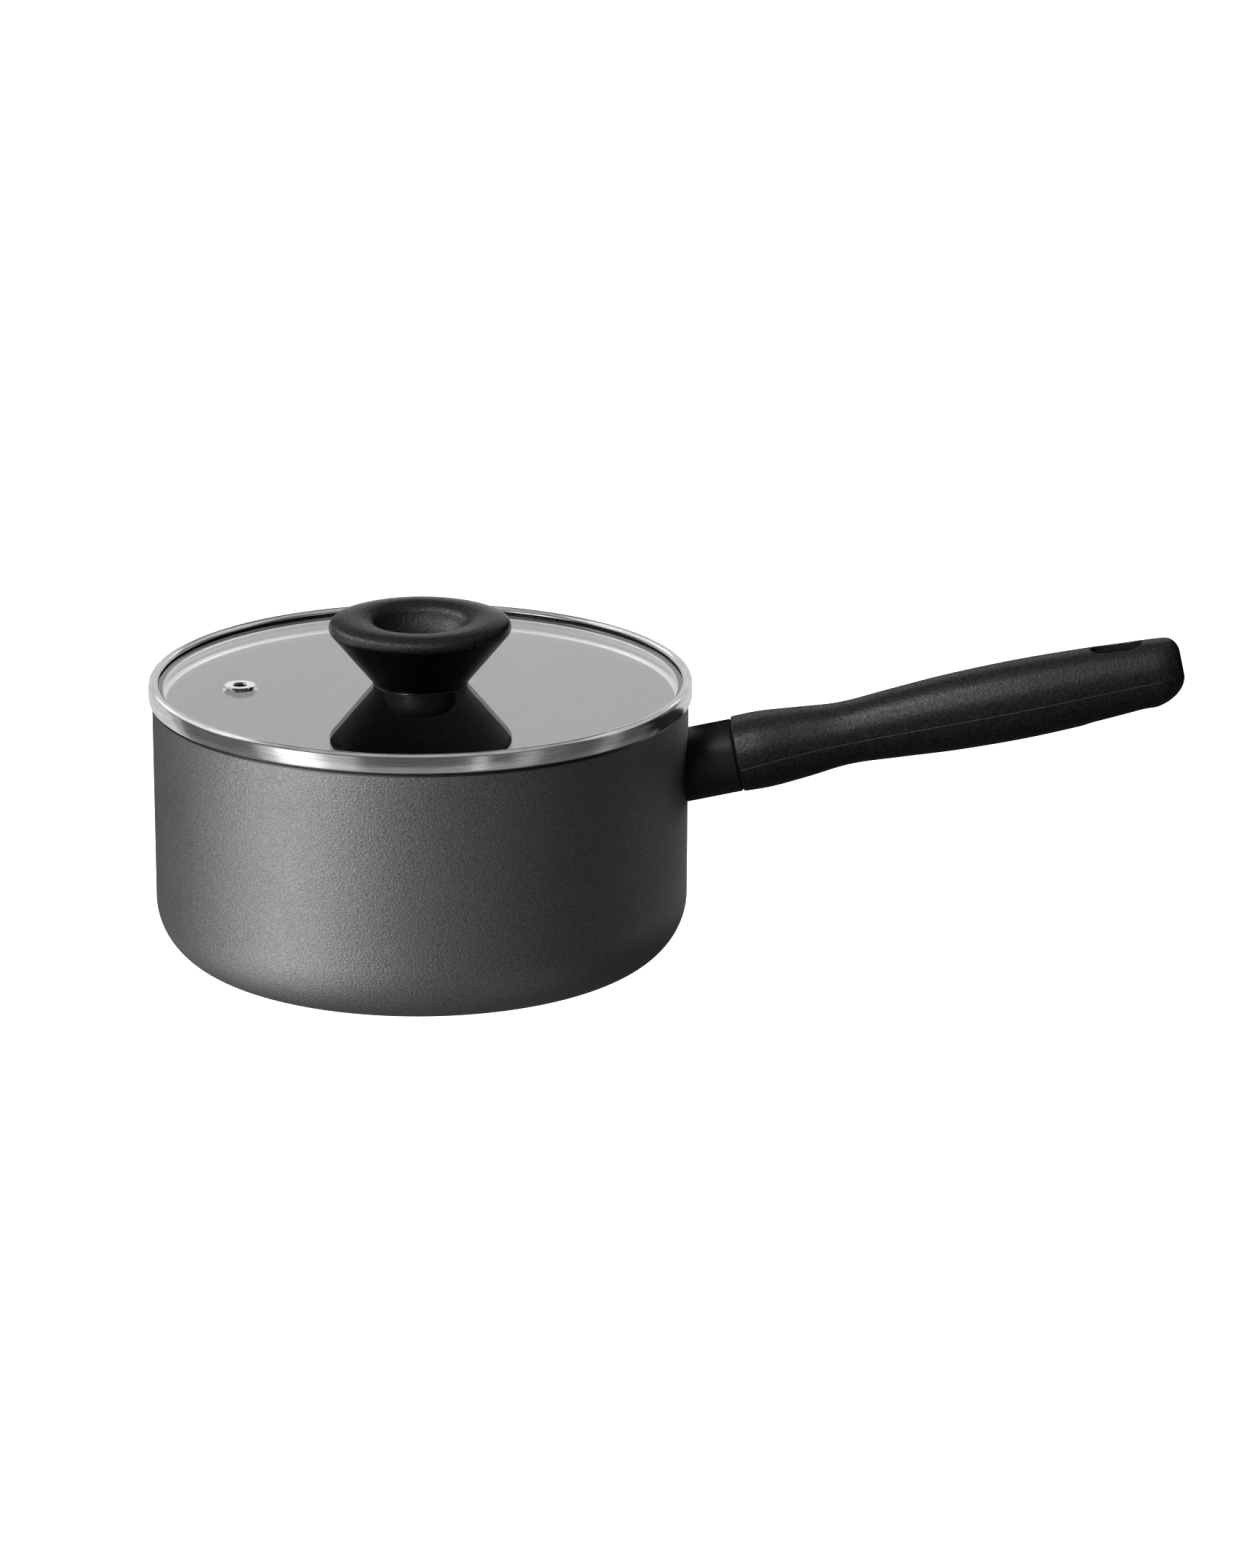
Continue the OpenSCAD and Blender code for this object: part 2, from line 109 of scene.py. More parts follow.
# the grip's socket for the bracket, its screw bore and the wider bore for the screw's head
SOCKET_W, SOCKET_H, SOCKET_R, SOCKET_END = 5.7, 6.2, 1.5, 36
SCREW_BORE_R, HEAD_BORE_R, HEAD_SEAT, HEAD_BORE_END = 3.0, 5.25, 120, 141.5
# the parting line moulded along the grip: its height, how far it dips at the front and over which
# length, and its groove's half-width and depth
LINE_T, LINE_DIP, LINE_DIP_LEN, LINE_W, LINE_D = -0.3, 1.0, 22, 0.2, 0.14
# a face whose middle is closer to the line than this is part of it
LINE_FACES = 0.15


# ---------------------------------------------------------------- meshes
def build(name, verts, faces, body, mats, face_mat=None, sharp=40):
    """A mesh piece from points in millimetres, riding on a body."""
    me = bpy.data.meshes.new(name)
    me.from_pydata([tuple(c * MM for c in v) for v in verts], [], faces)
    for m in mats:
        me.materials.append(m)
    if face_mat is not None:
        me.polygons.foreach_set("material_index", face_mat)
    me.validate()
    bm = bmesh.new()
    bm.from_mesh(me)
    bmesh.ops.recalc_face_normals(bm, faces=bm.faces)
    bm.to_mesh(me)
    bm.free()
    me.shade_smooth()
    if sharp:
        me.set_sharp_from_angle(angle=math.radians(sharp))
    ob = bpy.data.objects.new(name, me)
    bpy.context.scene.collection.objects.link(ob)
    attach(ob, body)
    return ob


def arc(cx, cy, r, a0, a1, steps):
    """Points of an arc from angle a0 to a1, in degrees, about (cx, cy)."""
    return [(cx + r * math.cos(math.radians(a0 + (a1 - a0) * i / steps)),
             cy + r * math.sin(math.radians(a0 + (a1 - a0) * i / steps))) for i in range(steps + 1)]


def fillets(points, closed=False, step=9.0):
    """A polyline whose corners (x, y, radius) are rounded; a corner without a radius stays."""
    out, n = [], len(points)
    for i, p in enumerate(points):
        r = p[2] if len(p) > 2 else 0
        if not r or (not closed and i in (0, n - 1)):
            out.append((p[0], p[1]))
            continue
        here, before, after = (Vector(q[:2]) for q in (p, points[i - 1], points[(i + 1) % n]))
        u, v = (before - here).normalized(), (after - here).normalized()
        half = u.angle(v) / 2
        reach = min(r / math.tan(half), 0.49 * (before - here).length, 0.49 * (after - here).length)
        r = reach * math.tan(half)
        mid = here + (u + v).normalized() * (r / math.sin(half))
        a, b = here + u * reach - mid, here + v * reach - mid
        turn = a.angle_signed(b)
        steps = max(2, round(abs(math.degrees(turn)) / step))
        for k in range(steps + 1):
            t = -turn * k / steps
            out.append((mid.x + a.x * math.cos(t) - a.y * math.sin(t),
                        mid.y + a.x * math.sin(t) + a.y * math.cos(t)))
    return out


def lathe(name, profile, body, mats, slots=None, closed=False, segments=360, centre=(0, 0), sharp=40):
    """Turns a profile of (radius, height) about a vertical axis. slots gives each step's material."""
    verts, rings = [], []
    for r, z in profile:
        if r < 1e-6:
            rings.append([len(verts)] * segments)
            verts.append((centre[0], centre[1], z))
        else:
            rings.append(list(range(len(verts), len(verts) + segments)))
            for k in range(segments):
                a = 2 * math.pi * k / segments
                verts.append((centre[0] + r * math.cos(a), centre[1] + r * math.sin(a), z))
    faces, face_mat = [], []
    count = len(profile) if closed else len(profile) - 1
    for i in range(count):
        a, b = rings[i], rings[(i + 1) % len(profile)]
        for k in range(segments):
            m = (k + 1) % segments
            quad = [a[k], a[m], b[m], b[k]]
            quad = [q for j, q in enumerate(quad) if q not in quad[:j]]
            if len(quad) > 2:
                faces.append(quad)
                face_mat.append(slots[i] if slots else 0)
    return build(name, verts, faces, body, mats, face_mat, sharp=sharp)


# ---------------------------------------------------------------- materials
class Mat:
    """A node material with one Principled shader and short names for the nodes it uses."""

    def __init__(self, name, color, metallic, rough, **inputs):
        self.mat = bpy.data.materials.new(name)
        self.mat.use_nodes = True
        self.nt = self.mat.node_tree
        self.bsdf = self.nt.nodes["Principled BSDF"]
        self.set("Base Color", (*color, 1))
        self.set("Metallic", metallic)
        self.set("Roughness", rough)
        for key, value in inputs.items():
            self.set(key.replace("_", " "), value)
        self.where = self.nt.nodes.new("ShaderNodeTexCoord").outputs["Object"]

    def set(self, key, value):
        self.bsdf.inputs[key].default_value = value

    def add(self, kind, **sockets):
        """A node with its sockets set or linked; i0 and i1 stand for the first and second socket."""
        n = self.nt.nodes.new(kind)
        for key, value in sockets.items():
            s = n.inputs[{"i0": 0, "i1": 1}.get(key, key)]
            if isinstance(value, bpy.types.NodeSocket):
                self.nt.links.new(value, s)
            else:
                s.default_value = value
        return n

    def link(self, socket, key):
        self.nt.links.new(socket, self.bsdf.inputs[key])

    def math(self, op, a, b):
        n = self.add("ShaderNodeMath", i0=a, i1=b)
        n.operation = op
        return n.outputs[0]

    def stretched(self, sx, sy, sz):
        return self.add("ShaderNodeMapping", Vector=self.where, Scale=(sx, sy, sz)).outputs[0]

    def noise(self, scale, detail, rough, where=None):
        n = self.add("ShaderNodeTexNoise", Vector=where or self.where, Scale=scale, Detail=detail,
                     Roughness=rough)
        return n.outputs["Fac"]

    def cells(self, scale, smooth):
        n = self.add("ShaderNodeTexVoronoi", Vector=self.where, Scale=scale)
        n.feature = "SMOOTH_F1"
        n.inputs["Smoothness"].default_value = smooth
        return n.outputs["Distance"]

    def remap(self, value, a, b, c, d):
        n = self.add("ShaderNodeMapRange", Value=value)
        for key, v in (("From Min", a), ("From Max", b), ("To Min", c), ("To Max", d)):
            n.inputs[key].default_value = v
        return n.outputs["Result"]

    def blend(self, fac, a, b):
        n = self.nt.nodes.new("ShaderNodeMix")
        n.data_type = "RGBA"
        ins = {s.identifier: s for s in n.inputs}
        self.nt.links.new(fac, ins["Factor_Float"])
        for key, color in (("A_Color", a), ("B_Color", b)):
            ins[key].default_value = (*color, 1)
        return next(s for s in n.outputs if s.identifier == "Result_Color")

    def bump(self, height, depth, strength, after=None):
        n = self.add("ShaderNodeBump", Height=height, Strength=strength, Distance=depth * MM)
        if after is not None:
            self.nt.links.new(after, n.inputs["Normal"])
        return n.outputs["Normal"]

    def turned(self, per_mm, round_freq):
        """A coordinate for marks that run round the vertical axis, on flat and upright faces alike."""
        height_share = 1.37
        parts = self.add("ShaderNodeSeparateXYZ", Vector=self.where)
        flat = self.add("ShaderNodeCombineXYZ", X=parts.outputs["X"], Y=parts.outputs["Y"])
        length = self.add("ShaderNodeVectorMath", i0=flat.outputs[0])
        length.operation = "LENGTH"
        unit = self.add("ShaderNodeVectorMath", i0=flat.outputs[0])
        unit.operation = "NORMALIZE"
        turn = self.add("ShaderNodeSeparateXYZ", Vector=unit.outputs["Vector"])
        height = self.math("MULTIPLY", parts.outputs["Z"], height_share)
        across = self.math("ADD", length.outputs["Value"], height)
        return self.add(
            "ShaderNodeCombineXYZ",
            X=self.math("MULTIPLY", across, per_mm / MM),
            Y=self.math("MULTIPLY", turn.outputs["X"], round_freq),
            Z=self.math("MULTIPLY", turn.outputs["Y"], round_freq),
        ).outputs[0]


def pan_outside():
    """The outside's dark grey metallic coating, with a fine grain and flecks."""
    m = Mat("pan_outside", (0.075, 0.075, 0.077), 0.75, 0.5)
    grain = m.noise(1250, 2, 0.55, m.stretched(1, 1, 1.8))
    fleck = m.noise(3000, 1, 0.6)
    cloud = m.noise(28, 3, 0.55)
    shade = m.math("ADD", m.math("MULTIPLY", grain, 0.55), m.math("MULTIPLY", fleck, 0.45))
    m.link(m.blend(m.remap(shade, 0.32, 0.68, 0, 1), (0.052, 0.052, 0.053), (0.130, 0.130, 0.132)),
           "Base Color")
    m.link(m.remap(m.math("ADD", m.math("MULTIPLY", cloud, 0.5), m.math("MULTIPLY", fleck, 0.5)),
                   0.3, 0.7, 0.46, 0.58), "Roughness")
    m.link(m.bump(grain, 0.23, 1.0, m.bump(fleck, 0.05, 0.4)), "Normal")
    return m.mat


def pan_inside():
    """The inside's darker non-stick coating, with faint turning marks."""
    m = Mat("pan_inside", (0.012, 0.012, 0.013), 0.0, 0.4, Specular_IOR_Level=0.35)
    spots = m.noise(1500, 2, 0.6)
    rings = m.noise(1.0, 2, 0.5, m.turned(1.2, 4.0))
    m.link(m.blend(m.remap(spots, 0.45, 0.75, 0, 1), (0.010, 0.010, 0.011), (0.030, 0.030, 0.032)),
           "Base Color")
    m.link(m.remap(rings, 0.3, 0.7, 0.34, 0.48), "Roughness")
    m.link(m.bump(spots, 0.03, 0.5, m.bump(rings, 0.03, 0.5)), "Normal")
    return m.mat


def pan_brim_painted_shade():
    """The brim's coating, dark like the inside's, and painted near black for the shade that the lid's band
    throws over the brim.
    """
    m = Mat("pan_brim_painted_shade", (0.008, 0.008, 0.009), 0.0, 0.4, Specular_IOR_Level=0.3)
    fleck = m.noise(1800, 2, 0.6)
    m.link(m.blend(m.remap(fleck, 0.35, 0.7, 0, 1), (0.006, 0.006, 0.006), (0.014, 0.014, 0.015)),
           "Base Color")
    m.link(m.remap(fleck, 0.3, 0.7, 0.34, 0.48), "Roughness")
    m.link(m.bump(fleck, 0.03, 0.5), "Normal")
    return m.mat


def pan_base():
    """The bare, turned metal underneath."""
    m = Mat("pan_base", (0.16, 0.16, 0.165), 0.9, 0.4)
    rings = m.noise(1.0, 3, 0.6, m.turned(3.0, 1.5))
    stain = m.noise(40, 4, 0.6)
    m.link(m.blend(m.remap(rings, 0.3, 0.7, 0, 1), (0.09, 0.09, 0.093), (0.20, 0.20, 0.205)), "Base Color")
    m.link(m.remap(stain, 0.3, 0.7, 0.34, 0.5), "Roughness")
    m.link(m.bump(rings, 0.04, 0.6), "Normal")
    return m.mat


def steel_band():
    """The bright rolled steel of the lid's rim."""
    m = Mat("steel_band", (0.72, 0.72, 0.725), 1.0, 0.14, Anisotropic=0.5)
    fine = m.noise(1.0, 3, 0.65, m.turned(9.0, 5.0))
    broad = m.noise(1.0, 2, 0.5, m.turned(1.6, 9.0))
    m.link(m.blend(m.remap(broad, 0.35, 0.65, 0, 1), (0.62, 0.62, 0.625), (0.80, 0.80, 0.805)),
           "Base Color")
    m.link(m.remap(fine, 0.3, 0.7, 0.09, 0.18), "Roughness")
    m.link(m.bump(fine, 0.008, 0.8), "Normal")
    around = m.nt.nodes.new("ShaderNodeTangent")
    around.direction_type, around.axis = "RADIAL", "Z"
    m.link(around.outputs[0], "Tangent")
    return m.mat


def plain_steel():
    """The duller steel of the band's hidden faces and its skirt."""
    m = Mat("plain_steel", (0.72, 0.72, 0.725), 0.6, 0.42)
    fine = m.noise(1.0, 3, 0.65, m.turned(7.0, 4.0))
    m.link(m.blend(m.remap(fine, 0.35, 0.65, 0, 1), (0.66, 0.66, 0.665), (0.80, 0.80, 0.805)), "Base Color")
    m.link(m.remap(fine, 0.3, 0.7, 0.36, 0.5), "Roughness")
    m.link(m.bump(fine, 0.01, 0.6), "Normal")
    return m.mat


def polished_steel():
    """The vent's polished steel, with faint smears."""
    m = Mat("polished_steel", (0.64, 0.64, 0.65), 1.0, 0.1)
    smear = m.noise(420, 3, 0.6)
    m.link(m.remap(smear, 0.3, 0.7, 0.07, 0.2), "Roughness")
    m.link(m.bump(smear, 0.006, 0.6), "Normal")
    return m.mat


def metal(name, dark, light, rough, scale=900, depth=0.01):
    """A bare metal whose grain runs between two colours."""
    m = Mat(name, light, 1.0, rough)
    grain = m.noise(scale, 4, 0.6)
    m.link(m.blend(m.remap(grain, 0.3, 0.7, 0, 1), dark, light), "Base Color")
    m.link(m.remap(grain, 0.3, 0.7, rough - 0.06, rough + 0.08), "Roughness")
    m.link(m.bump(grain, depth, 0.7), "Normal")
    return m.mat


def clear_glass():
    """The lid's glass, with a slight wave."""
    m = Mat("clear_glass", (0.93, 0.955, 0.95), 0.0, 0.0, IOR=1.5, Transmission_Weight=1.0)
    wave = m.noise(9, 1, 0.4)
    m.link(m.bump(wave, 0.05, 0.15), "Normal")
    return m.mat


def rubber(name, shade):
    """Matt black rubber."""
    m = Mat(name, (shade,) * 3, 0.0, 0.6, Specular_IOR_Level=0.3)
    grain = m.noise(1300, 3, 0.6)
    m.link(m.blend(m.remap(grain, 0.3, 0.7, 0, 1), (shade * 0.7,) * 3, (shade * 1.4,) * 3), "Base Color")
    m.link(m.remap(grain, 0.3, 0.7, 0.5, 0.7), "Roughness")
    m.link(m.bump(grain, 0.02, 0.6), "Normal")
    return m.mat


def pebbled(name, shade, rough, size, depth, spread=1.8):
    """Moulded plastic with a pebble grain, size in millimetres; spread is the flecks' contrast."""
    m = Mat(name, (shade,) * 3, 0.0, rough, Specular_IOR_Level=0.4)
    pebble = m.cells(1 / (size * MM), 0.5)
    fine = m.noise(2.4 / (size * MM), 2, 0.6)
    coarse = m.noise(0.8 / (size * MM), 2, 0.6)
    height = m.math("ADD", m.math("MULTIPLY", pebble, -0.8), m.math("MULTIPLY", fine, 0.5))
    flecks = m.math("ADD", m.math("MULTIPLY", pebble, -0.5), coarse)
    m.link(m.blend(m.remap(flecks, 0.05, 0.5, 0, 1), (shade / spread,) * 3, (shade * spread,) * 3),
           "Base Color")
    m.link(m.remap(coarse, 0.35, 0.65, rough + 0.07, rough - 0.07), "Roughness")
    m.link(m.bump(height, depth, 1.0, m.bump(coarse, depth * 1.2, 0.8)), "Normal")
    return m.mat


def satin_black(name, shade, rough):
    """Smooth black plastic or paint with a very fine grain."""
    m = Mat(name, (shade,) * 3, 0.0, rough, Specular_IOR_Level=0.45)
    cloud = m.noise(70, 4, 0.55)
    fine = m.noise(2400, 2, 0.6)
    m.link(m.blend(m.remap(cloud, 0.3, 0.7, 0, 1), (shade * 0.8,) * 3, (shade * 1.2,) * 3), "Base Color")
    m.link(m.remap(fine, 0.3, 0.7, rough - 0.04, rough + 0.06), "Roughness")
    m.link(m.bump(fine, 0.012, 0.5), "Normal")
    return m.mat


OUTSIDE, INSIDE, BRIM_SHADE, BASE = pan_outside(), pan_inside(), pan_brim_painted_shade(), pan_base()
BAND, PLAIN, POLISHED, GLASS = steel_band(), plain_steel(), polished_steel(), clear_glass()
RUBBER, SEAL = rubber("rubber_black", 0.02), rubber("seal_black", 0.012)
COLLAR = satin_black("collar_black", 0.008, 0.2)
GRIP_MAT = pebbled("grip_pebble", 0.017, 0.41, 0.9, 0.07, spread=2.1)
LINE_MAT = satin_black("parting_line", 0.045, 0.5)
KNOB_TOP_MAT = pebbled("knob_pebble", 0.014, 0.37, 0.65, 0.17, spread=2.4)
SEAT_MAT = pebbled("seat_pebble", 0.008, 0.36, 0.7, 0.05)
GLOSSY = satin_black("knob_glossy", 0.003, 0.3)
GUARD_MAT = satin_black("guard_satin", 0.014, 0.52)
ZINC = metal("zinc_steel", (0.42, 0.42, 0.43), (0.66, 0.66, 0.68), 0.32)
SPRING = metal("spring_steel", (0.22, 0.22, 0.23), (0.40, 0.40, 0.42), 0.38)
BRACKET = metal("bracket_steel", (0.38, 0.38, 0.39), (0.56, 0.56, 0.57), 0.4, 500, 0.02)
RIVET = metal("rivet_metal", (0.55, 0.55, 0.56), (0.75, 0.75, 0.76), 0.3, 1200)
BRASS = metal("turned_brass", (0.55, 0.40, 0.16), (0.80, 0.62, 0.28), 0.3)

# ---------------------------------------------------------------- the pan
def slanted(r0, r1, low, high, steps):
    """The inner points of a straight line between two (radius, height) points."""
    return [(r0 + (r1 - r0) * k / steps, low + (high - low) * k / steps) for k in range(1, steps)]


profile = [(0.0, 0.0)]
for i in range(RINGS):
    r = RING_FIRST + RING_STEP * i
    out = r + RING_W
    profile += fillets([(r - 1, 0), (r, 0, RING_MOUTH_R), (r + RING_LEAN, RING_D, RING_FLOOR_R),
                        (out - RING_LEAN, RING_D, RING_FLOOR_R), (out, 0, RING_MOUTH_R), (out + 1, 0)])
base_end = len(profile)
profile += arc(SIDE_FOOT - CORNER_R, CORNER_R, CORNER_R, -90, 0, 40)
WALL_STEPS, BRIM_R = 14, WALL / 2
brim_z, inner_r, inner_z = PAN_H - BRIM_R, SIDE_FOOT - WALL - INNER_R, BASE_T + INNER_R
profile += slanted(SIDE_FOOT, PAN_R, CORNER_R, brim_z, WALL_STEPS)
brim_start = len(profile)
profile += arc(PAN_R - BRIM_R, brim_z, BRIM_R, 0, 180, 16)
brim_end = len(profile)
profile += slanted(PAN_R - WALL, PAN_R - WALL - TAPER, brim_z, inner_z, WALL_STEPS)
profile += arc(inner_r, inner_z, INNER_R, 0, -90, 32)
profile += [(inner_r * k / 8, BASE_T) for k in range(7, -1, -1)]
# base, outside, the brim painted near black as the band's shade, and the inside's coating, which starts
# just before the brim ends
slots = [0 if i < base_end - 1 else 1 if i < brim_start else 2 if i < brim_end - 3 else 3
         for i in range(len(profile))]
pan = lathe("pan_shell", profile, "pan", [BASE, OUTSIDE, BRIM_SHADE, INSIDE], slots)
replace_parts(pan, "pan_body")


# ---------------------------------------------------------------- the handle
def along(s, y, t):
    """A point in the handle's own frame (along, across, up) as a point in the row frame."""
    return (PAN_R + s * math.cos(RISE) - t * math.sin(RISE), y,
            HANDLE_Z + s * math.sin(RISE) + t * math.cos(RISE))


def oval(a, w, h):
    """A point at angle a on the handle's rounded section of half-width w and half-height h."""
    c, s = math.cos(a), math.sin(a)
    return w * math.copysign(abs(c) ** (2 / SQUARE), c), h * math.copysign(abs(s) ** (2 / SQUARE), s)


def side_r(z):
    """The radius of the pan's side at a height."""
    return PAN_R - TAPER * (PAN_H - z) / (PAN_H - CORNER_R)


def to_pan(y, t):
    """How far along the handle a line at (y, t) leaves the pan's side, found by halving."""
    lo, hi = -12.0, 12.0
    for _ in range(40):
        s = (lo + hi) / 2
        x, _, z = along(s, y, t)
        if math.hypot(x, y) < side_r(z) + PAN_GAP:
            lo = s
        else:
            hi = s
    return hi


def guard():
    """The flame guard: a sleeve that meets the pan's side, closed towards the grip."""
    around = 144
    turns = [2 * math.pi * k / around for k in range(around)]
    rows = []

    def row(w, h, s_of):
        rows.append([along(s_of(*p), *p) for p in (oval(a, w, h) for a in turns)])

    for k in range(5):
        a = math.radians(90 * k / 4)
        less = GUARD_ROOT_R * (1 - math.sin(a))
        row(GUARD_W - less, GUARD_H - less,
            lambda y, t, a=a: to_pan(y, t) + GUARD_ROOT_R * (1 - math.cos(a)))
    for k in range(1, 12):
        row(GUARD_W, GUARD_H, lambda y, t, k=k: to_pan(y, t) + GUARD_ROOT_R + (
            GUARD_LEN - GUARD_END_R - to_pan(y, t) - GUARD_ROOT_R) * k / 12)
    for k in range(6):
        a = math.radians(90 * k / 5)
        less = GUARD_END_R * (1 - math.cos(a))
        row(GUARD_W - less, GUARD_H - less,
            lambda y, t, a=a: GUARD_LEN - GUARD_END_R * (1 - math.sin(a)))
    # a low ledge on the end face, just short of the grip, so the joint can't be seen through
    ledge = GRIP_START - LEDGE_GAP
    row(GUARD_W * LEDGE_FOOT, GUARD_H * LEDGE_FOOT, lambda y, t: GUARD_LEN)
    for share in (LEDGE_EDGE, 0.8, 0.55, 0.3):
        row(GUARD_W * share, GUARD_H * share, lambda y, t: ledge)
    outside = len(rows)
    rows.append([along(ledge, 0, 0)])
    inside_end = GUARD_LEN - GUARD_WALL
    for s_of in (lambda y, t: to_pan(y, t) + INNER_GAP, lambda y, t: inside_end):
        row(GUARD_W - GUARD_WALL, GUARD_H - GUARD_WALL, s_of)
    rows.append([along(inside_end, 0, 0)])
    verts, index = [], []
    for r in rows:
        index.append(list(range(len(verts), len(verts) + len(r))))
        verts += r
    faces = []
    pairs = [(i, i + 1) for i in range(outside)]
    for i, j in pairs + [(0, outside + 1), (outside + 1, outside + 2), (outside + 2, outside + 3)]:
        a, b = index[i], index[j]
        for k in range(around):
            m = (k + 1) % around
            faces.append([a[k], a[m], b[0]] if len(b) == 1 else [a[k], a[m], b[m], b[k]])
    return build("flame_guard_sleeve", verts, faces, "pan", [GUARD_MAT])


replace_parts(guard(), "flame_guard")


def station(s, k):
    """The grip's size k at distance s: a smooth curve through its stations."""
    i = next((j for j in range(len(GRIP) - 1) if s <= GRIP[j + 1][0]), len(GRIP) - 2)

    def slope(j):
        a, b = max(j - 1, 0), min(j + 1, len(GRIP) - 1)
        return (GRIP[b][k] - GRIP[a][k]) / (GRIP[b][0] - GRIP[a][0])

    w = GRIP[i + 1][0] - GRIP[i][0]
    u = (s - GRIP[i][0]) / w
    return ((2 * u**3 - 3 * u**2 + 1) * GRIP[i][k] + (u**3 - 2 * u**2 + u) * w * slope(i)
            + (3 * u**2 - 2 * u**3) * GRIP[i + 1][k] + (u**3 - u**2) * w * slope(i + 1))


def over(d, r, left):
    """How much of the size is left at distance d from an end that is rounded over length r."""
    return 1.0 if d >= r else left + (1 - left) * math.sqrt(max(0.0, 1 - (1 - max(d, 0) / r) ** 2))


def grip_sizes(s):
    """The grip's half-width and its height above and below the middle at distance s."""
    front, back = over(s - GRIP_START, *FRONT_ROUND), GRIP_END - s
    return tuple(station(s, k) * over(back, *tip) * front
                 for k, tip in ((1, TIP_SIDES), (2, TIP_TOP), (3, TIP_UNDERSIDE)))


def slot_outline(s, y, at, length, width):
    """The nearest point to (s, y) on a slot's outline, and the direction away from the slot."""
    half, r = (length - width) / 2, width / 2
    cx = at + max(-half, min(half, s - at))
    dx, dy = s - cx, y
    d = math.hypot(dx, dy)
    if d < 1e-9:
        dx, dy, d = 0.0, 1.0, 1.0
    return (cx + dx / d * r, dy / d * r), (dx / d, dy / d)


def parting(s):
    """The height of the grip's parting line at distance s."""
    return LINE_T - LINE_DIP * max(0.0, 1 - (s - GRIP_START) / LINE_DIP_LEN) ** 2


def grip_height(s, y, part):
    """The height of the grip's top ("t") or underside ("b") at (s, y)."""
    w, up, down = grip_sizes(s)
    t = (1 - min(1.0, abs(y) / w) ** SQUARE) ** (1 / SQUARE)
    return up * t if part == "t" else -down * t


def fractions(edge):
    """Shares of the half-width for the points across the top or underside, dense past the edge."""
    near = [edge + d for d in (0.0, 0.012, 0.03, 0.055, 0.09, 0.14, 0.2)]
    last, widest = near[-1], 0.9985
    outer = [last + (widest - last) * math.sin(math.radians(90 * k / 17)) for k in range(1, 16)]
    return [edge * k / 7 for k in range(7)] + near + outer


def grip_rows():
    """The distances of the grip's cross-sections, dense at both ends and round slot and pocket."""
    even_start, step, tip_len = 2.0, 1.15, TIP_UNDERSIDE[0]
    found = [GRIP_START + FRONT_ROUND[0] * (1 - math.cos(math.radians(15 * k))) for k in range(7)]
    s = GRIP_START + even_start
    while s < GRIP_END - tip_len:
        found.append(s)
        s += step
    found += [GRIP_END - tip_len * (1 - math.sin(math.radians(4.5 * k))) for k in range(21)]
    extra = []
    for edge, sign in ((SLOT_AT - SLOT_LEN / 2, -1), (SLOT_AT + SLOT_LEN / 2, 1),
                       (POCKET_FRONT, -1), (POCKET_BACK, 1)):
        extra += [edge + sign * d for d in (0.0, 0.15, 0.36, 0.66, 1.08, 1.7)]
    return sorted([v for v in found if all(abs(v - x) > 0.3 for x in extra)] + extra)


def in_handle(p):
    """A point of the row frame in the handle's own frame (along, across, up)."""
    dx, dz = p.x - PAN_R, p.z - HANDLE_Z
    c, s = math.cos(RISE), math.sin(RISE)
    return dx * c + dz * s, p.y, -dx * s + dz * c


def open_loops(bm):
    """The mesh's open edges, one list for each loop, in the mesh's own order."""
    bm.edges.index_update()
    left = {e.index: e for e in bm.edges if e.is_boundary}
    found = []
    while left:
        stack = [left.pop(next(iter(left)))]
        loop = list(stack)
        while stack:
            for v in stack.pop().verts:
                for e in v.link_edges:
                    if e.index in left:
                        loop.append(left.pop(e.index))
                        stack.append(e)
        found.append(loop)
    return found


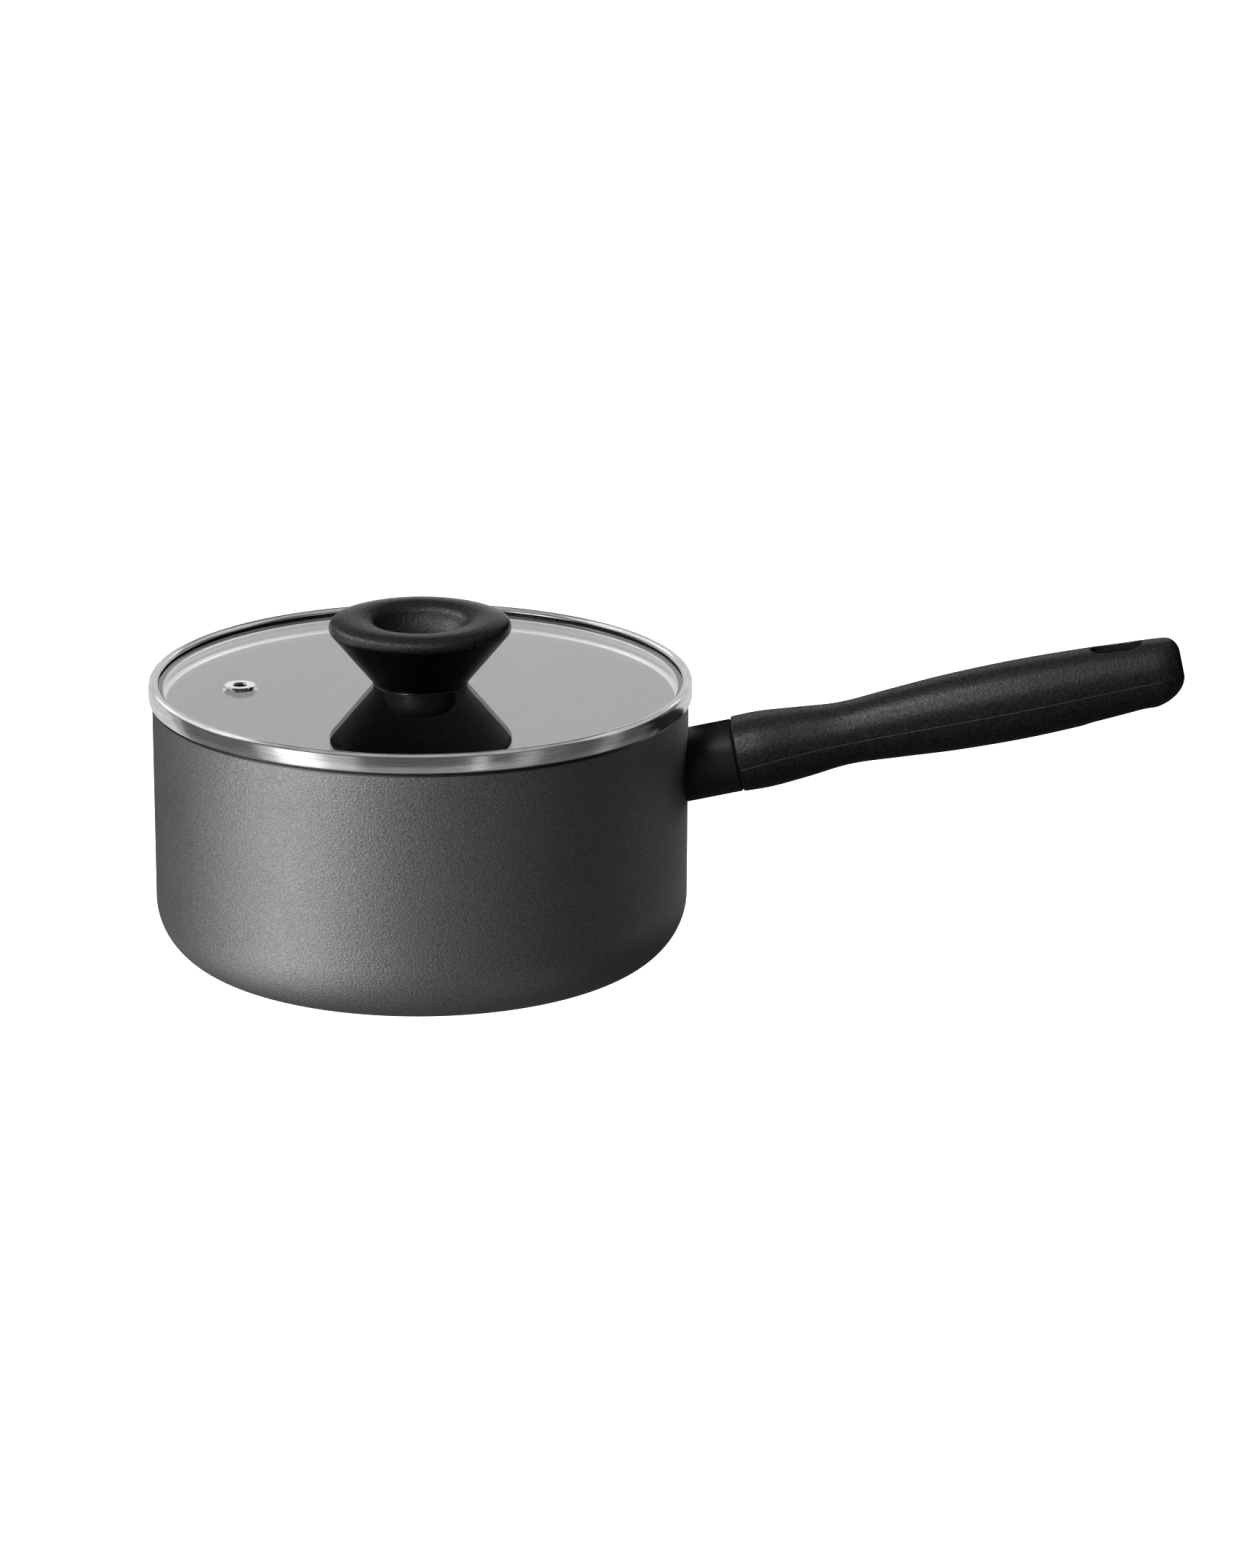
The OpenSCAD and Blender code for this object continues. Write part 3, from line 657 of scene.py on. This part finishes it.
def grip_skin():
    """The grip's skin as points and faces, open at both ends and at the slot and pocket."""
    # about where the slot's and the pocket's edges are, as shares of the half-width
    top_edge, low_edge = 0.405, 0.565
    shares = {"t": fractions(top_edge), "b": fractions(low_edge)}
    # heights of the sides' points above the parting line, the share of the grip's height that they
    # keep within, and where the line's groove ends
    side_t = (0.7, 0.45, 0.3, 0.15, 0.0, -0.15, -0.3, -0.45, -0.7)
    side_share, line_end = 0.9, GRIP_END - 0.4
    rows = grip_rows()

    def at(v):
        return min(range(len(rows)), key=lambda i: abs(rows[i] - v))

    # columns, going round: over the top from +y to -y, down the side, under the bottom, up the side
    columns = ([("t", f) for f in reversed(shares["t"])] + [("t", -f) for f in shares["t"][1:]]
               + [("m", t) for t in side_t]
               + [("b", -f) for f in reversed(shares["b"])] + [("b", f) for f in shares["b"][1:]]
               + [("p", t) for t in reversed(side_t)])
    # each opening: centre, length, width, its edge's share, its edge's radius and its two ends
    holes = {"t": (SLOT_AT, SLOT_LEN, SLOT_W, top_edge, SLOT_EDGE,
                   SLOT_AT - SLOT_LEN / 2, SLOT_AT + SLOT_LEN / 2),
             "b": ((POCKET_FRONT + POCKET_BACK) / 2, POCKET_BACK - POCKET_FRONT, POCKET_W, low_edge,
                   POCKET_EDGE, POCKET_FRONT, POCKET_BACK)}
    # rings of points round an opening: their distances, and how many follow its outline exactly
    rings_at = (0.0, 0.10, 0.26, 0.50, 0.82, 1.3, 1.9, 2.7, 3.7)
    exact_rings = 5
    verts, inside = [], set()
    for i, s in enumerate(rows):
        w, up, down = grip_sizes(s)
        for j, (part, f) in enumerate(columns):
            if part in "tb":
                y, moved_s, drop = f * w, s, 0.0
                where, length, width, edge, edge_r, start, end = holes[part]
                across = shares[part].index(abs(f)) - shares[part].index(edge)
                ring = max(at(start) - i, i - at(end), across)
                if ring < 0:
                    inside.add((i, j))
                elif ring < len(rings_at):
                    near, away = slot_outline(s, y, where, length, width)
                    d = rings_at[ring]
                    share = 1.0 if ring < exact_rings else 1 - (ring - exact_rings + 1) / 5
                    moved_s = s + (near[0] + away[0] * d - s) * share
                    y = y + (near[1] + away[1] * d - y) * share
                    if d < edge_r:
                        drop = edge_r - math.sqrt(max(0.0, edge_r**2 - (edge_r - d) ** 2))
                t = grip_height(moved_s, y, part)
                verts.append(along(moved_s, y, t - drop if part == "t" else t + drop))
            else:
                t = max(-down * side_share, min(up * side_share, parting(s) + f))
                y = w * (1 - (abs(t) / (up if t > 0 else down)) ** SQUARE) ** (1 / SQUARE)
                if abs(f) < LINE_W and s < line_end:
                    y -= LINE_D * (1 - abs(f) / LINE_W)
                verts.append(along(s, y if part == "p" else -y, t))
    faces, n = [], len(columns)
    for i in range(len(rows) - 1):
        for j in range(n):
            k = (j + 1) % n
            quad = ((i, j), (i, k), (i + 1, k), (i + 1, j))
            if any(c in inside for c in quad):
                continue
            part = columns[j][0]
            if part in "tb" and columns[k][0] == part:
                _, _, _, edge, _, start, end = holes[part]
                mid_s = (rows[i] + rows[i + 1]) / 2
                if start < mid_s < end and abs(columns[j][1] + columns[k][1]) / 2 < edge:
                    continue
            faces.append([a * n + b for a, b in quad])
    used = sorted({v for f in faces for v in f})
    renumber = {v: i for i, v in enumerate(used)}
    return [verts[v] for v in used], [[renumber[v] for v in f] for f in faces]


def grip():
    """The grip: its skin, both ends closed, and walls from the slot and pocket to one flat roof."""
    me = bpy.data.meshes.new("grip_skin")
    skin_verts, skin_faces = grip_skin()
    me.from_pydata(skin_verts, [], skin_faces)
    bm = bmesh.new()
    bm.from_mesh(me)
    roof_edges = []
    for loop in open_loops(bm):
        points = [in_handle(v.co) for e in loop for v in e.verts]
        s, _, t = (sum(c) / len(points) for c in zip(*points))
        if not GRIP_START + END_ZONE < s < GRIP_END - END_ZONE:
            bmesh.ops.triangle_fill(bm, edges=loop, use_beauty=True)
            continue
        levels = 3 if t > 0 else 6
        edges = loop
        for level in range(levels):
            made = bmesh.ops.extrude_edge_only(bm, edges=edges)["geom"]
            new_verts = [g for g in made if isinstance(g, bmesh.types.BMVert)]
            edges = [g for g in made if isinstance(g, bmesh.types.BMEdge)
                     and all(v in new_verts for v in g.verts)]
            for v in new_verts:
                v_s, v_y, v_t = in_handle(v.co)
                v.co = along(v_s, v_y, v_t + (POCKET_ROOF - v_t) / (levels - level))
        roof_edges += edges
    bmesh.ops.triangle_fill(bm, edges=roof_edges, use_beauty=True)
    bmesh.ops.recalc_face_normals(bm, faces=bm.faces)
    bm.to_mesh(me)
    bm.free()
    verts = [tuple(v.co) for v in me.vertices]
    faces = [list(p.vertices) for p in me.polygons]
    # the parting line's faces, but not those at the front or near the middle, get their own material
    line_start, middle = GRIP_START + 1.5, 4
    on_line = []
    for f in faces:
        s, y, t = in_handle(sum((Vector(verts[v]) for v in f), Vector()) / len(f))
        on_line.append(int(abs(t - parting(s)) < LINE_FACES and abs(y) > middle and s > line_start))
    return build("grip_body", verts, faces, "pan", [GRIP_MAT, LINE_MAT], on_line, sharp=50)


def cut(ob, *cutters):
    """Takes closed cutter meshes out of a piece, and removes them."""
    for c in cutters:
        mod = ob.modifiers.new("cut", "BOOLEAN")
        mod.operation, mod.solver, mod.object = "DIFFERENCE", "EXACT", c
    bpy.context.view_layer.update()
    made = bpy.data.meshes.new_from_object(ob.evaluated_get(bpy.context.evaluated_depsgraph_get()))
    ob.modifiers.clear()
    old, ob.data = ob.data, made
    bpy.data.meshes.remove(old)
    for c in cutters:
        bpy.data.objects.remove(c)


def bar(name, section, s0, s1):
    """A closed prism along the handle, used only for cutting."""
    n = len(section)
    verts = [along(s, y, t) for s in (s0, s1) for y, t in section]
    faces = [[k, (k + 1) % n, n + (k + 1) % n, n + k] for k in range(n)]
    faces += [list(range(n))[::-1], list(range(n, 2 * n))]
    return build(name, verts, faces, "pan", [GRIP_MAT], sharp=0)


def circle(r, n):
    """n points evenly round a circle about the origin."""
    return [(r * math.cos(2 * math.pi * k / n), r * math.sin(2 * math.pi * k / n)) for k in range(n)]


# the cutters overlap a little, and the socket's starts in front of the grip
CUT_START, OVERLAP = 10, 1
handle = grip()
socket = fillets([(SOCKET_W, SOCKET_H, SOCKET_R), (-SOCKET_W, SOCKET_H, SOCKET_R),
                  (-SOCKET_W, -SOCKET_H, SOCKET_R), (SOCKET_W, -SOCKET_H, SOCKET_R)],
                 closed=True, step=15)
cut(handle, bar("cut_socket", socket, CUT_START, SOCKET_END),
    bar("cut_bore", circle(SCREW_BORE_R, 48), SOCKET_END - 2 * OVERLAP, HEAD_SEAT + OVERLAP),
    bar("cut_head_bore", circle(HEAD_BORE_R, 48), HEAD_SEAT, HEAD_BORE_END))
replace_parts(handle, "handle_grip")

# ---------------------------------------------------------------- the lid
# the band: where its lip and its flange start, the steel's thickness, and the skirt in the pan
LIP_IN, FOOT, BAND_T = BAND_R - 3.4, PAN_H + 0.2, 0.6
SKIRT, SKIRT_END, HEM = 89.4, PAN_H - 4.6, 0.85
# its rounded crown, the bulge of its wall, the rounding at its foot and the lip's turn
CROWN_Z, CROWN_R, BULGE, FOOT_R, LIP_TURN = GLASS_TOP + 0.35, 1.7, 0.12, 0.7, 170
LIP_FOOT = CROWN_Z + CROWN_R * math.sin(math.radians(LIP_TURN))
# rim and skirt meet at this radius, and the seal stands this far back under the lip
JOIN, SEAL_BACK = SKIRT + 2, 0.35
# the glass's radius and the rounding of its edge
GLASS_R, GLASS_EDGE = BAND_R - 2.2, 1.0


def face(inset):
    """The band's face from the lip over the crown and down a slightly bulging wall to the foot."""
    middle, half = (CROWN_Z + FOOT + FOOT_R) / 2, (CROWN_Z - FOOT - FOOT_R) / 2
    bulge_r = half * half / 2 / BULGE
    wall = [(BAND_R - bulge_r + math.sqrt((bulge_r - inset) ** 2 - u * u), middle + u)
            for u in (half * k / 6 for k in range(5, -6, -1))]
    return (arc(LIP_IN + CROWN_R, CROWN_Z, CROWN_R - inset, LIP_TURN, 90, 20)
            + arc(BAND_R - CROWN_R - BULGE, CROWN_Z, CROWN_R - inset, 86, 6, 20) + wall
            + arc(BAND_R - FOOT_R - BULGE, FOOT + FOOT_R, FOOT_R - inset, -6, -90, 14))


rim = face(0) + [(JOIN, FOOT), (JOIN, FOOT + BAND_T)] + face(BAND_T)[::-1]
rim_slots = [0 if i < len(face(0)) else 1 for i in range(len(rim))]
lid_rim = lathe("lid_rim", rim, "lid", [BAND, PLAIN], rim_slots, closed=True, sharp=50)
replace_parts(lid_rim, "lid_band")

# the skirt that centres the lid in the pan, with its hem rolled inwards
under = fillets([(JOIN, FOOT), (SKIRT, FOOT, 0.5), (SKIRT, FOOT - 2)])
hem = arc(SKIRT - HEM, SKIRT_END + HEM, HEM, 0, math.degrees(math.acos(1 - BAND_T / HEM)) - 360, 24)
over_top = fillets([(SKIRT - BAND_T, FOOT - 1.5), (SKIRT - BAND_T, FOOT + BAND_T, 0.9),
                    (JOIN, FOOT + BAND_T)])
skirt = under + hem + over_top
sides = (len(under) - 1, len(under) + len(hem) - 1)
skirt_slots = [1 if i in sides else 0 for i in range(len(skirt))]
lid_skirt = lathe("lid_skirt", skirt, "lid", [PLAIN, BAND], skirt_slots, closed=True, sharp=50)
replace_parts(lid_skirt, "lid_band")

# the seal fills the room between the glass's rounded edge and the steel
glass_x = GLASS_R - GLASS_EDGE
glass_edge = (arc(glass_x, GLASS_LOW + GLASS_EDGE, GLASS_EDGE, -90, 0, 8)
              + arc(glass_x, GLASS_TOP - GLASS_EDGE, GLASS_EDGE, 0, 90, 8))
seal = ([(LIP_IN + SEAL_BACK, GLASS_TOP), (LIP_IN + SEAL_BACK, LIP_FOOT)] + face(BAND_T)
        + [(SKIRT - BAND_T, FOOT + BAND_T), (SKIRT - BAND_T, GLASS_LOW)] + glass_edge)
rim_seal = lathe("rim_seal", seal, "lid", [SEAL], closed=True, sharp=30)
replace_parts(rim_seal, "band_seal")

# the steam vent's eyelet: the radii of its bore, its tube, its head and its rolled end
VENT_BORE, VENT_TUBE, VENT_HEAD, VENT_ROLL = 2.3, 3.0, 5.35, 4.3
# the thickness of the washer and the rolled end, and the roundings of the head's edge and the mouth
VENT_WASHER_T, VENT_ROLL_T, HEAD_EDGE_R, MOUTH_R = 0.6, 0.5, 0.35, 0.6
lo, hi = extent("vent_eyelet")
vent = ((lo[0] + hi[0]) / 2, (lo[1] + hi[1]) / 2)
low = GLASS_LOW - VENT_WASHER_T
foot = low - VENT_ROLL_T
eyelet = ([(VENT_BORE, foot)]
          + fillets([(VENT_ROLL - 0.3, foot), (VENT_ROLL, foot, 0.25), (VENT_ROLL, low), (VENT_TUBE, low)])
          + [(VENT_TUBE, GLASS_TOP), (VENT_HEAD, GLASS_TOP)]
          + arc(VENT_HEAD - HEAD_EDGE_R, GLASS_TOP + HEAD_EDGE_R, HEAD_EDGE_R, 0, 80, 8)
          + arc(VENT_BORE + MOUTH_R, GLASS_TOP + 0.1, MOUTH_R, 90, 180, 10))
vent_ring = lathe("vent_ring", eyelet, "lid", [POLISHED], closed=True, segments=96, centre=vent)
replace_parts(vent_ring, "vent_eyelet")

# the knob: a flare, a rounded edge with a parting line, a crown and a dish
# the radii of its edge, its dish, the dish's lip, its bowl, its foot and the screw's hole
EDGE_R, DISH_R, LIP_R, BOWL_R, KNOB_FOOT_R, SCREW_R = 2.6, 17.5, 4.0, 12.0, 16.2, 2.75
# angles in degrees: half the crown's arc, where lip turns to bowl, the parting line and its half-width
SWEEP, TURN, PART_AT, PART_HALF = 17.3, 150.0, -9.0, 2.5
# the flare's angle from the vertical
FLARE = math.degrees(math.atan(0.814))
sweep = math.radians(SWEEP)
edge_x = KNOB_R - EDGE_R
crown_r = (edge_x + EDGE_R * math.sin(sweep) - DISH_R) / 2 / math.sin(sweep)
crown_x, crown_y = DISH_R + crown_r * math.sin(sweep), KNOB_TOP - crown_r
edge_y = crown_y + (crown_r - EDGE_R) * math.cos(sweep)
lip_x, lip_y = DISH_R + LIP_R * math.sin(sweep), crown_y + (crown_r - LIP_R) * math.cos(sweep)
bowl_x = lip_x + (LIP_R + BOWL_R) * math.cos(math.radians(TURN))
bowl_y = lip_y + (LIP_R + BOWL_R) * math.sin(math.radians(TURN))
cone = [(0.0, KNOB_FOOT), (SCREW_R, KNOB_FOOT), (KNOB_FOOT_R - 2, KNOB_FOOT)]
cone += fillets([(KNOB_FOOT_R - 1, KNOB_FOOT), (KNOB_FOOT_R, KNOB_FOOT, 0.4),
                 (KNOB_FOOT_R + 0.8, KNOB_FOOT + 1)], step=15)[1:-1]
below_line = arc(edge_x, edge_y, EDGE_R, -FLARE, PART_AT - PART_HALF, 8)
foot_point, edge_point = Vector(cone[-1]), Vector(below_line[0])
cone += [tuple(foot_point.lerp(edge_point, k / 12)) for k in range(1, 12)] + below_line
groove = [(edge_x + (EDGE_R - d) * math.cos(math.radians(PART_AT + a)),
           edge_y + (EDGE_R - d) * math.sin(math.radians(PART_AT + a)))
          for a, d in ((-1.6, 0.03), (0, 0.16), (1.6, 0.03))]
cap = (arc(edge_x, edge_y, EDGE_R, PART_AT + PART_HALF, 90 - SWEEP, 16)
       + arc(crown_x, crown_y, crown_r, 90 - SWEEP, 90 + SWEEP, 20)[1:]
       + arc(lip_x, lip_y, LIP_R, 90 + SWEEP, TURN, 12)[1:]
       + arc(bowl_x, bowl_y, BOWL_R, TURN - 180, -90, 24)[1:]
       + [(bowl_x * k / 3, bowl_y - BOWL_R) for k in (2, 1, 0)])
shape = cone + groove + cap
shape_slots = [0 if i < len(cone) + 1 else 1 for i in range(len(shape))]
knob = lathe("knob_body", shape, "lid", [GLOSSY, KNOB_TOP_MAT], shape_slots, segments=288, sharp=60)
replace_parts(knob, "knob")

# the boss under the glass, with the recess for the screw's head and washers
RECESS_R, RECESS_D, BOSS_EDGE_R = 5.6, 5.2, 4.5
boss = ([(SCREW_R, SEAT_FOOT + RECESS_D), (RECESS_R, SEAT_FOOT + RECESS_D)]
        + fillets([(RECESS_R, SEAT_FOOT + 4), (RECESS_R, SEAT_FOOT, 0.4), (7, SEAT_FOOT)])
        + arc(SEAT_R - BOSS_EDGE_R, SEAT_FOOT + BOSS_EDGE_R, BOSS_EDGE_R, -90, 0, 20)
        + [(SEAT_R, SEAT_TOP), (SCREW_R, SEAT_TOP)])
knob_boss = lathe("knob_boss", boss, "lid", [SEAT_MAT], closed=True, segments=192)
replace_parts(knob_boss, "knob_seat")

# the washer under the knob: a rounded edge just proud of the knob's foot
COLLAR_R, COLLAR_HOLE_R = 0.25, 5
collar = ([(SCREW_R, GLASS_LOW), (COLLAR_HOLE_R, GLASS_LOW), (COLLAR_HOLE_R, GLASS_TOP)]
          + arc(KNOB_FOOT_R + 0.05, GLASS_TOP + COLLAR_R, COLLAR_R, -90, 90, 12)
          + [(SCREW_R, KNOB_FOOT)])
knob_collar = lathe("knob_collar", collar, "lid", [COLLAR], closed=True, segments=240, sharp=50)
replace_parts(knob_collar, "knob_gasket")

# ---------------------------------------------------------------- CAD pieces that stay
for node_name, m in {
    "handle_bracket": BRACKET, "bracket_rivets": RIVET, "bracket_nut": ZINC, "handle_screw": ZINC,
    "handle_plain_washer": ZINC, "handle_spring_washer": SPRING, "lid_glass": GLASS,
    "vent_washer": POLISHED, "knob_insert": BRASS, "seat_gasket": RUBBER,
    "knob_screw": ZINC, "knob_plain_washer": ZINC, "knob_spring_washer": SPRING,
}.items():
    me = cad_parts[node_name].data
    me.materials.clear()
    me.materials.append(m)
    me.shade_smooth()
    me.set_sharp_from_angle(angle=math.radians(30))

# ---------------------------------------------------------------- floor, lights, camera
# the backdrop's radius, foot and top in metres, and its glow
ROOM_R, ROOM_FOOT, ROOM_TOP, ROOM_GLOW = 7.5, -2.5, 6.0, 1.1
floor_mat = Mat("floor_pale", (0.86, 0.86, 0.86), 0.0, 0.9, Specular_IOR_Level=0.0)
speck = floor_mat.noise(300, 3, 0.6)
floor_mat.link(floor_mat.blend(speck, (0.85, 0.85, 0.85), (0.87, 0.87, 0.87)), "Base Color")
room_mat = bpy.data.materials.new("backdrop_white")
room_mat.use_nodes = True
room_mat.node_tree.nodes.clear()
glow = room_mat.node_tree.nodes.new("ShaderNodeEmission")
glow.inputs["Strength"].default_value = ROOM_GLOW
sink = room_mat.node_tree.nodes.new("ShaderNodeOutputMaterial")
room_mat.node_tree.links.new(glow.outputs[0], sink.inputs["Surface"])


def stage_mesh(name, verts, faces, mat):
    """A mesh in metres that belongs to the stage, not to the object."""
    me = bpy.data.meshes.new(name)
    me.from_pydata(verts, [], faces)
    me.materials.append(mat)
    me.shade_smooth()
    ob = bpy.data.objects.new(name, me)
    bpy.context.scene.collection.objects.link(ob)
    ob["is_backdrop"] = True
    return ob


floor_points = [(x, y, 0) for x, y in circle(ROOM_R, 96)]
floor = stage_mesh("floor", floor_points, [list(range(len(floor_points)))], floor_mat.mat)
rear = [(ROOM_R * math.cos(math.radians(a)), ROOM_R * math.sin(math.radians(a)))
        for a in range(-25, 206, 5)]
room = stage_mesh("backdrop", [(x, y, z) for z in (ROOM_FOOT, ROOM_TOP) for x, y in rear],
                  [[k, k + 1, len(rear) + k + 1, len(rear) + k] for k in range(len(rear) - 1)], room_mat)
# the floor shows to the camera alone, and neither it nor the backdrop or the glass throws a shadow
floor.visible_diffuse = floor.visible_glossy = floor.visible_transmission = floor.visible_shadow = False
room.visible_shadow = False
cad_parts["lid_glass"].visible_shadow = False
every_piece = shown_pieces()
# the point that the lamps are turned to
LAMP_AIM = Vector((0.04, 0, 0.06))


def lights_only(light, targets):
    """The light reaches these objects alone."""
    group = bpy.data.collections.new(light.name + "_on")
    for o in targets:
        group.objects.link(o)
    light.light_linking.receiver_collection = group


def softbox(name, at, aim, width, height, power, on):
    """An area lamp at a place, turned to its aim, that lights the listed pieces."""
    data = bpy.data.lights.new(name, "AREA")
    data.shape, data.size, data.size_y, data.energy = "RECTANGLE", width, height, power
    ob = bpy.data.objects.new(name, data)
    ob.location = at
    ob.rotation_euler = (Vector(aim) - Vector(at)).to_track_quat("-Z", "Y").to_euler()
    ob.visible_camera = False
    bpy.context.scene.collection.objects.link(ob)
    lights_only(ob, on)
    return ob


def lamp(name, turn, rise, away, width, height, power, on):
    """A softbox at an angle round from the front (negative is left) and an angle up."""
    a, e = math.radians(turn), math.radians(rise)
    at = LAMP_AIM + away * Vector((math.sin(a) * math.cos(e), -math.cos(a) * math.cos(e), math.sin(e)))
    softbox(name, at, LAMP_AIM, width, height, power, on)


def only(*names):
    """The pieces with these names."""
    return [o for o in every_piece if o.name in names]


# the groups of pieces that have lamps of their own
PAN, METAL, SKIRTS = [pan], only("lid_rim"), only("lid_skirt")
VENT, GUARD = only("vent_ring"), only("flame_guard_sleeve")
KNOB = only("knob_body", "knob_boss", "knob_collar", "seat_gasket", "knob_screw", "knob_plain_washer",
            "knob_spring_washer", "rim_seal", "vent_washer")
apart = PAN + METAL + SKIRTS + VENT + KNOB + GUARD + only("lid_glass")
HANDLE = [o for o in every_piece if o not in apart]
lights_only(room, only("lid_glass", "vent_ring"))

# name, angle round, angle up, then distance, width and height in metres, watts, what it lights
LAMPS = [
    ("pan_key", -57, 8, 1.7, 0.7, 1.8, 50, PAN),
    ("pan_front", -30, 12, 1.7, 0.7, 1.5, 15, PAN),
    ("pan_right", 115, 12, 1.7, 0.7, 1.2, 9, PAN),
    ("pan_low", -70, -38, 1.7, 1.2, 0.7, 19, PAN),
    ("pan_low_right", 45, -45, 1.7, 1.0, 0.7, 3, PAN),
    ("pan_back", 160, 20, 1.7, 0.7, 1.5, 40, PAN),
    ("grip_front", -15, 36, 1.7, 0.4, 0.4, 6, HANDLE),
    ("grip_front_left", -45, 35, 1.7, 0.5, 0.6, 4, HANDLE),
    ("grip_left", -80, 35, 1.7, 0.5, 0.6, 4.4, HANDLE),
    ("grip_high", -50, 62, 1.7, 0.45, 0.45, 11, HANDLE + GUARD),
    ("grip_behind", 180, 20, 1.7, 1.2, 0.5, 1.5, HANDLE),
    ("guard_front", -35, 0, 1.7, 0.9, 0.9, 8, GUARD),
    ("knob_left", -95, 0, 1.7, 0.5, 0.6, 6, KNOB),
    ("knob_back_left", -120, 38, 1.7, 0.5, 0.6, 11, KNOB),
    ("knob_front", -50, 20, 1.7, 0.3, 0.3, 5, KNOB),
    ("knob_high", 0, 62, 1.7, 0.45, 0.45, 4, KNOB),
    ("knob_spark", -74, 67, 1.7, 0.25, 0.25, 8, KNOB),
    ("knob_behind", 180, 0, 1.7, 0.5, 0.6, 2, KNOB),
    ("knob_rim", 180, -15, 1.7, 2.2, 0.6, 8, [knob]),
    ("collar_line", -37, 22, 1.7, 0.35, 0.8, 30, only("knob_collar")),
    ("steel_key", -51, -2, 1.7, 0.6, 1.6, 3.0, METAL),
    ("steel_key_wide", -48, -2, 1.7, 1.35, 1.6, 2.8, METAL),
    ("steel_left", -120, -2, 1.7, 0.3, 1.6, 0.5, METAL),
    ("steel_line", 24, -2, 1.7, 0.12, 1.6, 0.45, METAL),
    ("steel_right", 44, -2, 1.7, 0.32, 1.6, 0.45, METAL),
    ("steel_far_right", 86, -2, 1.7, 0.34, 1.6, 0.32, METAL),
    ("steel_back_right", 125, -2, 1.7, 0.34, 1.6, 0.3, METAL),
    ("steel_front", 0, 0, 2.2, 3.6, 4.0, 2.6, METAL),
    ("steel_front_left", -85, 0, 2.2, 3.2, 4.0, 5.5, METAL),
    ("steel_front_right", 78, 0, 2.2, 3.0, 4.0, 3.4, METAL),
    ("steel_ground", -5, -42, 1.6, 2.8, 1.5, 2.4, METAL),
    ("steel_behind", 185, -6, 1.6, 3.8, 2.6, 22, METAL),
    ("steel_top", 0, 86, 1.7, 3.0, 2.6, 10, METAL),
    ("steel_high_left", -120, 36, 1.7, 2.0, 1.0, 6, METAL),
    ("steel_high_right", 120, 36, 1.7, 2.0, 1.0, 3.5, METAL),
    *((f"hem_{turn}", turn, 30, 1.7, 0.6, 0.6, power, SKIRTS)
      for turn, power in ((-115, 10), (-60, 5), (0, 6), (60, 5), (115, 10))),
    ("boss_side", -40, 14, 1.7, 0.35, 0.25, 30, only("knob_boss")),
    ("vent_front", -40, -12, 1.7, 1.2, 1.0, 2.4, VENT),
    ("vent_left", -70, 30, 1.7, 0.5, 0.8, 3, VENT),
]
for row in LAMPS:
    lamp(*row)
FLOOR_LAMP_AT, FLOOR_AIM, FLOOR_LAMP_W = (0.0, 0.2, 5.0), (0.0, 0.2, 0.0), 5.0
softbox("floor_light", FLOOR_LAMP_AT, FLOOR_AIM, FLOOR_LAMP_W, FLOOR_LAMP_W, 60, [floor])
fill = softbox("floor_fill", FLOOR_LAMP_AT, FLOOR_AIM, FLOOR_LAMP_W, FLOOR_LAMP_W, 840, [floor])
fill.data.use_shadow = False

SKY_GLOW = 0.06
world = bpy.data.worlds.new("studio")
world.use_nodes = True
sky = world.node_tree.nodes["Background"]
sky.inputs["Color"].default_value = (1, 1, 1, 1)
sky.inputs["Strength"].default_value = SKY_GLOW
bpy.context.scene.world = world

# the camera that was fitted to the photo: its place, its tilt down, its turn and its lens
CAMERA_AT, TILT_DOWN, CAMERA_TURN = (0.073607, -3.040842, 0.992949), 0.297608, 0.000736
LENS, SENSOR, NEAR, FAR = 211.09, 36.0, 0.05, 60
cam_data = bpy.data.cameras.new("camera")
cam_data.sensor_fit, cam_data.sensor_width, cam_data.sensor_height = "AUTO", SENSOR, SENSOR
cam_data.lens = LENS
cam_data.clip_start, cam_data.clip_end = NEAR, FAR
cam = bpy.data.objects.new("camera", cam_data)
cam.location = CAMERA_AT
cam.rotation_euler = (math.pi / 2 - TILT_DOWN, 0, CAMERA_TURN)
bpy.context.scene.collection.objects.link(cam)
bpy.context.scene.camera = cam
bpy.context.scene.view_settings.view_transform = "Standard"
